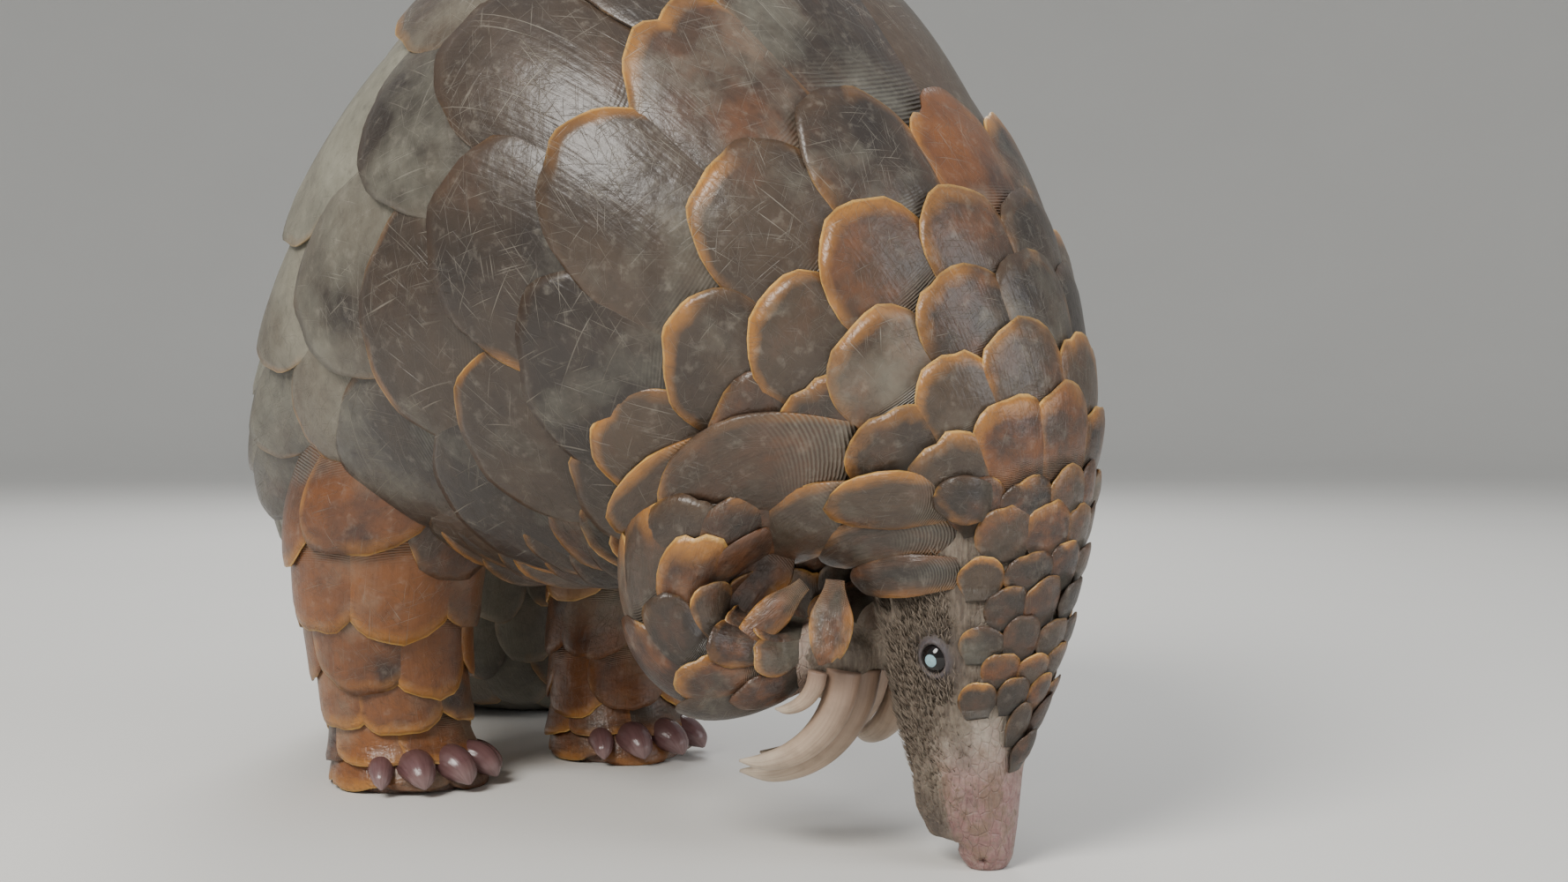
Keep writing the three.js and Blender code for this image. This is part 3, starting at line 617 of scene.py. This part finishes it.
# Leaf scales that hang between the arm and the throat of the right side: root, tip, width
hangingSet = {
    "inner_arm": ((156, 44, 86), (141, 58, 67), 11),
    "throat": ((169, 45, 88), (171, 51, 63), 13.5),
    "armpit": ((146, 40, 106), (129, 55, 74), 26),
    "armpit_inner": ((134, 34, 104), (121, 49, 76), 26),
}
leafForm = {"arch": 3.5, "dome": 0.09, "thick": 1.6, "thinWide": 4, "bevel": 0.5, "corner": 0.42, "point": 0.85,
            "root": 0.66, "hangingRoot": 0.42, "ragged": 1.2, "dust": 0.06, "hangingWarm": 0.5}


def leafPlates(name, side, material):
    grid = plateGrid(16, 20)
    u, v, _ = grid
    reachFine = np.linspace(0, 1, 41)
    leaves = []
    for root, tip, wide, warm in leafSet.values():
        at, share, height = [root[i] + (tip[i] - root[i]) * reachFine for i in range(3)]
        middle = trunk.place(at, share * side, height + leafForm["arch"] * np.sin(reachFine * math.pi))
        leaves.append((middle, trunk.blend(trunk.normal, at, share * side), wide, warm))
    for root, tip, wide in hangingSet.values():
        root, tip = np.array(root) * (1, -1, 1), np.array(tip) * (1, -1, 1)
        middle = (root + (tip - root) * reachFine[:, None]) * (1, -side, 1)
        middle[:, 0] += advance["fore"]["left" if side > 0 else "right"]
        facing = np.tile((0.62, 0.75 * side, 0.1), (41, 1))
        leaves.append((middle, facing, wide, leafForm["hangingWarm"]))
    outline = [np.full((len(leaves), 1), leafForm[key]) for key in ("corner", "point", "root")]
    outline[2][len(leafSet):] = leafForm["hangingRoot"]
    shape = plateOutline(u, v, *outline, leafForm["ragged"])
    edge, reach, across, swing = shape
    top, low, rim = [], [], []
    for k, (middle, facing, wide, _) in enumerate(leaves):
        place = lambda line: np.stack([np.interp(reach[k], reachFine, line[:, i]) for i in range(3)], 1)
        stride = np.gradient(middle, axis=0)
        length = np.linalg.norm(stride, axis=1).sum()
        ahead = unit(stride)
        lateral = unit(np.cross(ahead, facing))
        upward = np.cross(lateral, ahead)
        rimMm = np.minimum((1 - v[0]) * edge[k] * length, (1 - np.abs(swing[0])) * wide * 0.6 + (1 - v[0]) * 3)
        height = leafForm["dome"] * wide * (1 - across[k] ** 2) - leafForm["bevel"] * np.exp(-rimMm)
        thick = leafForm["thick"] * (1 - (1 - rimSet["thin"]) * np.exp(-rimMm / leafForm["thinWide"]))
        body = place(middle) + place(lateral) * (across[k] * wide / 2)[:, None]
        top.append(body + place(upward) * height[:, None])
        low.append(body + place(upward) * (height - thick)[:, None])
        rim.append(rimMm)
    wides, warm = [np.array([[leaf[i]] for leaf in leaves]) for i in (2, 3)]
    tone = (warm, np.full((len(leaves), 1), leafForm["dust"]))
    plateMesh(name, grid, shape, np.array(top), np.array(low), np.array(rim), wides, tone, material)


for name, side in sides.items():
    leafPlates(f"scales_leaf_{name}", side, horn)
print("scales done")

seam = 0.99999  # the underside's last share, just short of 1


def closedSweep(bm, sweep, sidesRound, rings, grow=0, mark=None):
    made = bmesh.ops.create_grid(bm, x_segments=rings, y_segments=sidesRound, size=1)["verts"]
    if mark:
        mark(made)
    flat = np.array([v.co[:2] for v in made])
    at = (flat[:, 0] * 0.5 + 0.5) * sweep.last
    depth = grow(at, np.abs(flat[:, 1])) if callable(grow) else grow
    for vert, point in zip(made, world(sweep.place(at, np.clip(flat[:, 1], -1, seam), depth))):
        vert.co = point
    bmesh.ops.remove_doubles(bm, verts=made, dist=2e-5)


# Depths in millimetres under plates, on bare skin and on the limbs; snout and hands lie at 0
skinSet = {"voxel": 0.0026, "under": -1.8, "bare": -0.4, "limb": -1.2, "snout": 24, "hand": 4.8, "floor": 0.0002}


def trunkDepth(at, share):
    plated = (at < ringedTo) | (share < crownLimit(at))
    return np.where(plated, skinSet["under"], skinSet["bare"]) * (at < skinSet["snout"])


bm = bmesh.new()
closedSweep(bm, trunk, 96, 300, trunkDepth)
for name in sides:
    closedSweep(bm, hind[name], 40, 60, skinSet["limb"])
    closedSweep(bm, fore[name], 40, 70, lambda at, share: np.where(at > skinSet["hand"], 0, skinSet["limb"]))
closeHoles(bm)
bmesh.ops.recalc_face_normals(bm, faces=bm.faces[:])
splitWide(bm)
form = placed("skin_form", meshOf(bm, "skin_rough"))
remesh = form.modifiers.new("remesh", "REMESH")
remesh.mode, remesh.voxel_size = "VOXEL", skinSet["voxel"]
soften = form.modifiers.new("soften", "SMOOTH")
soften.factor, soften.iterations = 0.5, 5
remeshed = bpy.data.meshes.new_from_object(form.evaluated_get(bpy.context.evaluated_depsgraph_get()))
bpy.data.objects.remove(form)

bm = bmesh.new()
bm.from_mesh(remeshed)
cutBelow(bm, skinSet["floor"])
closeHoles(bm)
print("skin form done")

headLine = np.arange(int(19 * trunk.steps), len(trunk.at))


def headPlace(points):
    # nearest station of the head and angle from the crown for each point
    found = np.zeros((len(points), 2))
    centre, along = world(trunk.centre[headLine]), trunk.along[headLine]
    for i in range(0, len(points), 4000):
        rel = points[i:i + 4000, None] - centre[None]
        far = np.abs((rel * along[None]).sum(2)) + 0.15 * np.linalg.norm(rel, axis=2)
        best = far.argmin(1)
        row = headLine[best]
        r = rel[np.arange(len(best)), best]
        across = (r * trunk.left[row]).sum(1) / trunk.half[row]
        found[i:i + 4000, 0] = trunk.at[row]
        found[i:i + 4000, 1] = np.degrees(np.arctan2(across, (r * trunk.up[row]).sum(1) / trunk.rise[row]))
    return found


def frameOn(at, degrees, side):
    row = int(round(at * trunk.steps))
    share = trunk.shareAt(at, degrees) * side
    out = trunk.normal[row, int(round((share + 1) * trunk.around))]
    ahead = unit(trunk.along[row] - out * np.dot(trunk.along[row], out))
    return world(trunk.place(at, share)), out, ahead, np.cross(out, ahead)


faceSet = {
    "lid": (4.2, 3.5), "socket": 5, "ear": (20.95, 116), "earOval": (7.5, 4.6),
    "nostril": (26.75, 60), "mouthFront": 25.87, "mouthCorner": 23.9, "mouthReach": 66,
}
# Folds of the face: height in millimetres, middle, width
foldSet = {
    "lid": ((1.3, 1.27, 0.28), (-0.3, 1.85, 0.14), (0.15, 2.15, 0.16), (-0.6, 2.9, 0.5)),
    "ear": ((2.2, 1, 0.28), (-2.8, 0, 0.62)),
    "jaw": ((1.3, 25.45, 0.3), (-2.2, 26.15, 0.22)),
    "mouth": ((0.9, 2.6, 1.2), (-2, 0, 0.75)),
    "notch": ((-1.8, 0, 1.1),),
    "nostril": ((0.3, 2.2, 0.9), (-1.7, 0, 1)),
}
mouthLine = []
for share in np.linspace(-1, 1, 49):
    at = faceSet["mouthFront"] + (faceSet["mouthCorner"] - faceSet["mouthFront"]) * share ** 2
    degrees = 180 - faceSet["mouthReach"] * abs(share)
    mouthLine.append(trunk.place(at, trunk.shareAt(at, degrees) * (1 if share > 0 else -1)))
mouthLine = world(np.array(mouthLine))
nostrils = [frameOn(*faceSet["nostril"], side)[0] for side in sides.values()]
ears = {name: frameOn(*faceSet["ear"], side) for name, side in sides.items()}
eyes = {name: frameOn(eyeSet["at"], eyeSet["angle"], side) for name, side in sides.items()}
eyes = {name: (world(eyeHome[name]), *eye[1:]) for name, eye in eyes.items()}


def nearest(points, targets):
    return np.min([np.linalg.norm(points - t, axis=1) for t in targets], axis=0) / mm


def refine(test):
    middles = np.array([f.calc_center_median() for f in bm.faces])
    faces = [f for f, hit in zip(bm.faces, test(middles)) if hit]
    edges = {e for f in faces for e in f.edges}
    made = bmesh.ops.subdivide_edges(bm, edges=list(edges), cuts=1, use_grid_fill=True)["geom"]
    softened = [v for v in made if isinstance(v, bmesh.types.BMVert)]
    bmesh.ops.smooth_vert(bm, verts=softened, factor=0.5, use_axis_x=True, use_axis_y=True, use_axis_z=True)


headTop, headBack = world((158, 0, 112))[2], world((158, 0, 0))[0]
faceZone = lambda p: (p[:, 2] < headTop) & (p[:, 0] > headBack)
earHomes = [ear[0] for ear in ears.values()]
refine(faceZone)
eyeHomes = [eye[0] for eye in eyes.values()]
refine(lambda p: faceZone(p) & ((nearest(p, eyeHomes) < 15) | (nearest(p, mouthLine[::3]) < 5)
                                | (nearest(p, nostrils) < 6) | (nearest(p, earHomes) < 12)))
refine(lambda p: faceZone(p) & ((nearest(p, eyeHomes) < 11) | (nearest(p, mouthLine[::2]) < 3)
                                | (nearest(p, nostrils) < 4)))

bm.normal_update()
points = np.array([v.co for v in bm.verts])
normals = np.array([v.normal for v in bm.verts])
push = np.zeros(len(points))
inFace = faceZone(points)
lidOval = np.full(len(points), 9.0)
fold = lambda value, kind: sum(high * bump(value, middle, width) for high, middle, width in foldSet[kind])


def ovalOn(home, out, ahead, across, size):
    # how far each point lies out, and its distance in sizes of the oval
    rel = (points - home) / mm
    return rel @ out, np.sqrt((rel @ ahead / size[0]) ** 2 + (rel @ across / size[1]) ** 2)


for name in sides:
    far, oval = ovalOn(*eyes[name], faceSet["lid"])
    near = inFace & (far > 0) & (oval < 6)
    lidOval[near] = np.minimum(lidOval[near], oval[near])
    push += near * (fold(oval, "lid") - faceSet["socket"] * np.clip(1.08 - oval, 0, 0.4) / 0.4)
    far, oval = ovalOn(*ears[name], faceSet["earOval"])
    push += (inFace & (far > -6)) * fold(oval, "ear")
headAt = np.zeros((len(points), 2))
headAt[inFace] = headPlace(points[inFace])
at, turn = headAt[:, 0], np.abs(headAt[:, 1])
ease = lambda value, low, high: np.clip((value - low) / (high - low), 0, 1)
line, front, pit = [nearest(points, places) for places in (mouthLine, mouthLine[17:32], nostrils)]
push += inFace * (ease(turn, 84, 112) * fold(at, "jaw") + fold(line, "mouth") + fold(front, "notch"))
push += inFace * fold(pit, "nostril")
for vert, p, n, d in zip(bm.verts, points, normals, push):
    if abs(d) > 0.01:
        vert.co = p + n * d * mm
        vert.co.z = max(vert.co.z, skinSet["floor"])
splitWide(bm)
skinMesh = meshOf(bm, "skin")

# Zones of the skin: fur, pink flesh and dark in one colour, lid rims and bare limbs in another; the dark zone
# holds dark lid rims and blotches, and painted shade along the mouth slit and in the nostril pits
furry = ease(at, 24.2, 22.3) * ease(turn, 42, 62)
furry = np.maximum(furry, 0.85 * ease(at, 25.95, 25.6) * ease(turn, 74, 104))
pink = np.maximum(ease(at, 22.4, 24.6) * ease(turn, 128, 84), ease(at, 25.85, 26.2))
blotch = 0.9 * bump(at, 25.15, 0.45) * bump(turn, 112, 24) + 0.5 * bump(at, 23.5, 0.35) * bump(turn, 62, 10)
blotch += 0.4 * bump(at, 24.4, 0.25) * bump(turn, 58, 14)
rims = np.maximum(0.95 * bump(lidOval, 1, 0.24), 0.75 * bump(lidOval, 2, 0.8))
# dark: real dark lid rims and skin blotches, plus painted shade along the mouth line and inside the nostrils
dark = np.max([bump(line, 0, 0.8), rims, blotch, 0.7 * bump(pit, 0, 0.9)], axis=0)


def limbZone(back, front, top):
    ends = world([(back, 0, 0), (front, 0, 0)])[:, 0]
    return (points[:, 0] > ends[0]) & (points[:, 0] < ends[1]) & (points[:, 2] < top)


limbs = 0.8 * limbZone(-75, 20, 0.024) + 0.45 * (limbZone(128, 172, 0.084) & ~inFace)
lids = 0.85 * bump(lidOval, 1.35, 0.32)
layers = {"zones": (furry * inFace, pink * inFace, dark * inFace), "marks": (lids * inFace, limbs, limbs * 0)}
for key, values in layers.items():
    layer = skinMesh.color_attributes.new(key, "FLOAT_COLOR", "POINT")
    values = np.stack([*values, np.ones(len(points))], 1)
    layer.data.foreach_set("color", values.astype(np.float32).ravel())

skinLook = {
    "dusty": (0.31, 0.26, 0.21, 1), "fur": (0.105, 0.08, 0.059, 1), "furPale": (0.235, 0.19, 0.145, 1),
    "pink": (0.25, 0.13, 0.12, 1), "rose": (0.4, 0.275, 0.24, 1), "pale": (0.44, 0.37, 0.3, 1),
    "stain": (0.17, 0.105, 0.068, 1), "dark": (0.055, 0.042, 0.038, 1), "lid": (0.075, 0.066, 0.076, 1),
    "toe": (0.21, 0.1, 0.075, 1), "crease": 0.00045,
}


def skinMaterial(look):
    paint = Paint("bare_skin", look)
    between, noise, mapped = paint.between, paint.noise, paint.mapped
    fur, flesh, dark = paint.colour("zones")
    lid, limb, _ = paint.colour("marks")
    cloud = noise(paint.object, 60, 4, 0.6)
    mottle = noise(paint.object, 210, 4, 0.7)
    grain = noise(paint.object, 900, 3, 0.6)
    hairs = noise(mapped(paint.object, (900, 900, 170)), 1, 3)
    folds = noise(mapped(paint.object, (70, 70, 900)), 1, 2)
    creases = {"Vector": mapped(paint.object, (1, 1, 0.55)), "Scale": 420}
    creases = paint.add("TexVoronoi", creases, {"feature": "DISTANCE_TO_EDGE"})
    bloom = paint.layers(
        "pink",
        (between(mottle, 0.42, 0.62), "rose"),
        (between(mottle + (cloud - 0.5) * 1.1, 0.48, 0.62, 0, 0.8), "stain"),
        (between(mottle - (cloud - 0.5) * 0.8, 0.42, 0.3, 0, 0.6), "furPale"))
    coat = paint.mix(between(hairs + (cloud - 0.5) * 0.6, 0.34, 0.72), "fur", "furPale")
    base = paint.layers(
        "dusty",
        (between(cloud, 0.35, 0.7), "pale"),
        (between(flesh + (mottle - 0.5) * 1.2, 0.25, 0.75), bloom),
        (between(fur + (mottle - 0.5) * 0.9 + (hairs - 0.5) * 0.5, 0.28, 0.72), coat),
        (limb * between(mottle, 0.35, 0.6, 0.55, 0.95), "toe"),
        # the dark zone includes painted shade along the mouth line and in the nostrils
        (dark * between(mottle, 0.3, 0.6, 0.6, 0.9), "dark"),
        (lid, "lid"),
        (between(grain, 0.35, 0.65, 0.26, 0), "dark"))
    height = between(creases, 0, 0.09) * (1 - fur * 0.7) * 0.55
    height = height + grain * 0.4 + hairs * fur * 1.3 + mottle * 0.5 + folds * limb * 0.8
    roughness = between(flesh + lid * 0.8, 0, 1, 0.72, 0.4)
    soft = {"Specular_IOR_Level": 0.45, "Subsurface_Weight": 0.08, "Subsurface_Scale": 0.004}
    return paint.finish(base, roughness, paint.bump(height, look["crease"], 0.8), **soft)


fleshNodes = ["tail_tip", "tail_middle", "tail_base", "torso_rear", "torso_front", "neck", "head"]
for part in ("hind_leg", "hind_foot", "fore_arm", "fore_hand", "ear"):
    fleshNodes += [f"{part}_{name}" for name in sides]
pieceOf("skin", skinMesh, skinMaterial(skinLook), fleshNodes)
print("skin faces", len(skinMesh.polygons))

# Short hair that breaks the outline of the face, and sparse bristles on the belly
furSet = {
    "face": {"tries": 46000, "from": 19.9, "to": 25.9, "long": 4.6, "wide": 0.42, "rise": 52, "wave": 0.35,
             "size": ([20, 22.4, 23.4, 25.9], [1, 1.05, 0.9, 0.45])},
    "belly": {"tries": 5200, "from": 12.6, "to": 19.6, "long": 8, "wide": 0.42, "rise": 42, "wave": 0.5,
              "size": ([12, 16, 19.6], [1, 0.9, 0.5])},
    "rooted": -0.9, "lay": 9, "turns": (0.5, 2.594, 4.688), "rings": ((0, 1, 0), (0.55, 0.8, 0.04)),
}


def furMaterial():
    paint = Paint("short_hair", skinLook)
    chance, along = paint.uv("hair")
    cloud = paint.noise(paint.object, 60, 4, 0.6)
    shade = paint.between(chance + (cloud - 0.5) * 0.9, 0.1, 1)
    base = paint.layers("fur", (shade, "furPale"), (along * 0.3, "dusty"))
    return paint.finish(base, 0.6 + chance * 0.1, Specular_IOR_Level=0.3)


def furPiece(name, look, keep, material):
    at = dice.uniform(look["from"], look["to"], look["tries"])
    share = dice.uniform(-1, 1, look["tries"])
    area = trunk.pace(at) * trunk.value(trunk.girth, at)
    points = trunk.place(at, share, furSet["rooted"])
    picked = dice.random(look["tries"]) < area / area.max()
    picked &= dice.random(look["tries"]) < keep(at, np.abs(share), world(points))
    at, share, points = at[picked], share[picked], points[picked]
    n = len(at)
    size = np.interp(at, *look["size"])[:, None]
    out = unit(trunk.blend(trunk.normal, at, share))
    back = trunk.place(at - 0.06, share) - trunk.place(at, share)
    back = unit(back + np.cross(out, back) * dice.normal(0, look["wave"], (n, 1)))
    rise = np.radians(look["rise"] + dice.normal(0, furSet["lay"], (n, 1)))
    length = look["long"] * size * dice.uniform(0.7, 1.2, (n, 1))
    width = look["wide"] * dice.uniform(0.75, 1.2, (n, 1)) * np.clip(size, 0.6, 1)
    lateral = np.cross(out, back)
    rings = []
    for reach, thick, droop in furSet["rings"]:
        lean = rise * (1 - 0.45 * reach)
        middle = points + (back * np.cos(lean) + out * (np.sin(lean) - droop)) * length * reach
        for turn in furSet["turns"]:
            rings.append(middle + (lateral * math.cos(turn) + out * math.sin(turn)) * width * thick / 2)
    lean = rise * 0.55
    rings.append(points + (back * np.cos(lean) + out * np.sin(lean)) * length)
    spikes = np.stack(rings, 1)
    spikes[..., 2] = np.maximum(spikes[..., 2], 0.2)
    offset = np.arange(n)[:, None, None] * 7
    quads = (np.array([[0, 3, 4, 1], [1, 4, 5, 2], [2, 5, 3, 0]])[None] + offset).reshape(-1, 4)
    tips = (np.array([[3, 6, 4], [4, 6, 5], [5, 6, 3], [0, 1, 2]])[None] + offset).reshape(-1, 3)
    patch = 0.003 * np.array([[-0.5, 0], [0, 0], [0.5, 0], [-0.4, 0.5], [0, 0.5], [0.4, 0.5], [0, 1]])
    home = np.stack([0.01 + 0.98 * (share * 0.5 + 0.5), 0.01 + 0.97 * at / trunk.last], 1)
    chance = np.repeat(dice.random(n)[:, None], 7, 1).ravel()
    reach = np.tile([0, 0, 0, 0.55, 0.55, 0.55, 1], n)
    maps = {"OFBake": (home[:, None] + patch[None]).reshape(-1, 2), "hair": np.stack([chance, reach], 1)}
    mesh = meshFrom(name, world(spikes.reshape(-1, 3)), quads.tolist() + tips.tolist(), maps)
    bm = bmesh.new()
    bm.from_mesh(mesh)
    bmesh.ops.recalc_face_normals(bm, faces=bm.faces[:])
    bm.to_mesh(mesh)
    bm.free()
    print("hair", name, n)
    pieceOf(name, mesh, material)


def faceHair(at, share, points):
    limit = crownLimit(np.minimum(at, 23.3))
    thin = np.where(at < 22.6, 1, np.where(share > 0.46, 0.8, 0.12)) * ease(at, 25.9, 25.4)
    clear = (nearest(points, eyeHomes) > 6.9) & (nearest(points, earHomes) > 4.5)
    clear &= nearest(points, mouthLine[::2]) > 1.6
    return ease(share, limit + 0.05, limit + 0.1) * thin * clear


hairMaterial = furMaterial()
furPiece("hair_face", furSet["face"], faceHair, hairMaterial)
bellyHair = lambda at, share, points: ease(share, 0.78, 0.9) * 0.6 * (points[:, 2] > 0.03)
furPiece("hair_belly", furSet["belly"], bellyHair, hairMaterial)


def eyeMaterial(home, out):
    paint = Paint("eye_gloss")
    centred = paint.mapped(paint.object, move=tuple(-home))
    facing = paint.add("VectorMath", {0: centred, 1: tuple(out)}, {"operation": "DOT_PRODUCT"}, "Value")
    facing = facing / (eyeSet["radius"] * mm)
    swirl = paint.noise(paint.object, 1500, 3)
    iris = paint.mix(swirl, (0.004, 0.0035, 0.004, 1), (0.012, 0.009, 0.009, 1))
    # painted reflection: a pale-blue eyeshine disc on the front of the otherwise near-black eye
    eyeshine_disc = paint.between(facing + (swirl - 0.5) * 0.008, 0.958, 0.968)
    eyeshine_blue = paint.mix(swirl, (0.16, 0.3, 0.35, 1), (0.36, 0.52, 0.56, 1))
    wet = {"Coat_Weight": 0.25, "Coat_Roughness": 0.02, "Specular_IOR_Level": 0.4}
    return paint.finish(paint.mix(eyeshine_disc, iris, eyeshine_blue), 0.06, **wet)


for name, (home, out, _, _) in eyes.items():
    bm = bmesh.new()
    bmesh.ops.create_icosphere(bm, subdivisions=4, radius=eyeSet["radius"] * mm)
    for vert in bm.verts:
        bulge = max(0, vert.co.normalized().dot(Vector(out)) - eyeSet["cornea"]) / (1 - eyeSet["cornea"])
        vert.co = Vector(home) + vert.co * (1 + eyeSet["bulge"] * bulge)
    mesh = meshOf(bm, f"eyeball_{name}")
    pieceOf(f"eyeball_{name}", mesh, eyeMaterial(home, out), [f"eye_{name}"])
print("eyes done")


def hornTable(base, yaw, pitches, length, half, thick, steps=6):
    rows, point = [], np.array(base, float)
    for share in np.linspace(0, 1, steps + 1):
        pitch = pitches[0] + (pitches[1] - pitches[0]) * share
        taper = (1 - share ** 1.8) ** 0.6 * 0.92 + 0.08
        rows.append([*point, pitch, yaw, half * taper, thick * taper, thick * taper * 0.8])
        point = point + heading(np.radians(pitch), np.radians(yaw)) * length / steps
    return rows


def hornMaterial(name, base, deep, tip, rough, stain):
    paint = Paint(name)
    between = paint.between
    across, along = paint.uv("plate")
    grain = paint.noise(paint.join(across * 26, along * 2), 1, 3)
    cloud = paint.noise(paint.object, 140, 4, 0.6)
    colour = paint.layers(
        deep,
        (between(along, 0, 0.55), base),
        (between(along, 0.6, 1), tip),
        (between(grain, 0.42, 0.72, 0, 0.5), deep),
        (between(cloud, 0.45, 0.8, 0, stain), (0.13, 0.095, 0.07, 1)))
    roughness = between(cloud, 0.3, 0.7, rough, rough + 0.15)
    return paint.finish(colour, roughness, paint.bump(grain + cloud * 0.4, 0.0004, 0.7))


def hornPiece(name, sweeps, material, nodes):
    bm = bmesh.new()
    bake, plate = [bm.loops.layers.uv.new(key) for key in ("OFBake", "plate")]
    for k, sweep in enumerate(sweeps):
        def mark(made):  # UV maps while the grid is still flat
            for loop in {loop for vert in made for loop in vert.link_loops}:
                along, across = loop.vert.co.x * 0.5 + 0.5, loop.vert.co.y * 0.5 + 0.5
                loop[bake].uv = (k + 0.05 + 0.9 * across) / len(sweeps), 0.03 + 0.94 * along
                loop[plate].uv = across + k * 3, along

        closedSweep(bm, sweep, 24, 36, mark=mark)
    closeHoles(bm)
    cutBelow(bm, 0.0001)
    bmesh.ops.recalc_face_normals(bm, faces=bm.faces[:])
    pieceOf(name, meshOf(bm, name), material, nodes)


# Fore claws as offset, length, half width, set back; hind nails as turn, half width
clawSet = {"yaw": -22, "pitches": (-100, -192), "palm": 6.4, "deep": 1.15,
           "claws": [(-17.4, 21, 2.9, 7), (-10.8, 52, 5.2, 2), (0, 59, 6, 0), (10.8, 50, 5.2, 2),
                     (17.4, 20, 2.9, 8)],
           "look": ((0.47, 0.355, 0.26, 1), (0.27, 0.175, 0.125, 1), (0.6, 0.51, 0.4, 1), 0.34, 0.4)}
nailSet = {"length": 15.5, "pitches": (6, -62), "grow": 1.28, "height": 9, "station": 5, "inset": 0.86,
           "splay": 0.6, "nails": [(-62, 4.2), (-33, 5.6), (0, 6), (33, 5.6), (62, 4.2)],
           "look": ((0.15, 0.078, 0.08, 1), (0.085, 0.04, 0.038, 1), (0.3, 0.2, 0.195, 1), 0.12, 0.2)}
clawLook = hornMaterial("claw_horn", *clawSet["look"])
nailLook = hornMaterial("nail_horn", *nailSet["look"])
ahead, across = [heading(0, np.radians(clawSet["yaw"] + turn)) for turn in (0, 90)]
for name, side in sides.items():
    mirror = np.array([1, side, 1])
    palm = fore[name].centre[int(clawSet["palm"] * fore[name].steps)] * mirror
    claws = []
    for offset, length, half, back in clawSet["claws"]:
        base = palm + across * offset - ahead * back
        table = hornTable(base, clawSet["yaw"], clawSet["pitches"], length, half, half * clawSet["deep"])
        claws.append(Sweep(table, side, around=48))
    hornPiece(f"claws_{name}", claws, clawLook, [f"claw_fore_{name}_{i + 1}" for i in range(5)])
    i = int(nailSet["station"] * hind[name].steps)
    foot, reachX, reachY = hind[name].centre[i] * mirror, hind[name].rise[i], hind[name].half[i]
    nails = []
    for turn, half in nailSet["nails"]:
        angle, half = math.radians(turn), half * nailSet["grow"]
        x, y = reachX * math.cos(angle) * nailSet["inset"], reachY * math.sin(angle) * nailSet["inset"]
        base = (foot[0] + x, foot[1] + y, nailSet["height"])
        table = hornTable(base, turn * nailSet["splay"], nailSet["pitches"], nailSet["length"], half, half)
        nails.append(Sweep(table, side, around=48))
    hornPiece(f"nails_{name}", nails, nailLook, [f"nail_hind_{name}_{i + 1}" for i in range(5)])
print("claws done")

floorSet = {"size": 6, "flat": 3.2, "curve": 0.42, "rough": 0.75,
            "tones": ((0.74, 0.73, 0.7, 1), (0.78, 0.77, 0.74, 1))}
stageLook = Paint("studio_floor")
floorTone = stageLook.mix(stageLook.noise(stageLook.object, 3), *floorSet["tones"])
bm = bmesh.new()
bmesh.ops.create_grid(bm, x_segments=80, y_segments=80, size=floorSet["size"])
for vert in bm.verts:
    far = max(0, vert.co.xy.length - floorSet["flat"])
    vert.co.z = floorSet["curve"] * far * far
floor = placed("floor", meshOf(bm, "floor"))
floor.data.materials.append(stageLook.finish(floorTone, floorSet["rough"]))

studio = bpy.data.worlds.new("studio")
bpy.context.scene.world = studio
studio.use_nodes = True
sky = studio.node_tree.nodes["Background"].inputs
sky[0].default_value, sky[1].default_value = (0.86, 0.88, 0.9, 1), 0.5

# Soft lights: place, target, size, power, tint
lightSet = {
    "key": ((0.35, -1.5, 1.25), (0.05, -0.1, 0.15), 0.8, 34, (1, 0.97, 0.92)),
    "fill": ((1.6, 0.2, 0.7), (0.05, -0.1, 0.1), 1.2, 12, (0.93, 0.96, 1)),
    "back": ((-1.1, 1, 1.3), (0, -0.1, 0.2), 1, 16, (1, 1, 1)),
}
for name, (place, target, size, power, tint) in lightSet.items():
    data = bpy.data.lights.new(name, "AREA")
    data.shape, data.size, data.energy, data.color = "DISK", size, power, tint
    lamp = placed(name, data)
    lamp.location = place
    lamp.rotation_euler = (Vector(target) - Vector(place)).to_track_quat("-Z", "Y").to_euler()

# The camera stands where the photo was taken; its focal length is in pixels of the photo's width
cameraSet = {"place": (544.976, -485.468, 144.082), "turn": 42, "pitch": -1.432,
             "focal": 2200, "pixels": 1778, "sensor": 36, "near": 0.01}
lens = bpy.data.cameras.new("photo_view")
lens.sensor_width, lens.clip_start = cameraSet["sensor"], cameraSet["near"]
lens.lens = cameraSet["focal"] * cameraSet["sensor"] / cameraSet["pixels"]
camera = placed("photo_view", lens)
camera.location = world(np.array(cameraSet["place"]))
camera.rotation_euler = (math.radians(90 + cameraSet["pitch"]), 0, math.radians(cameraSet["turn"]))
bpy.context.scene.camera = camera

print("scene done")
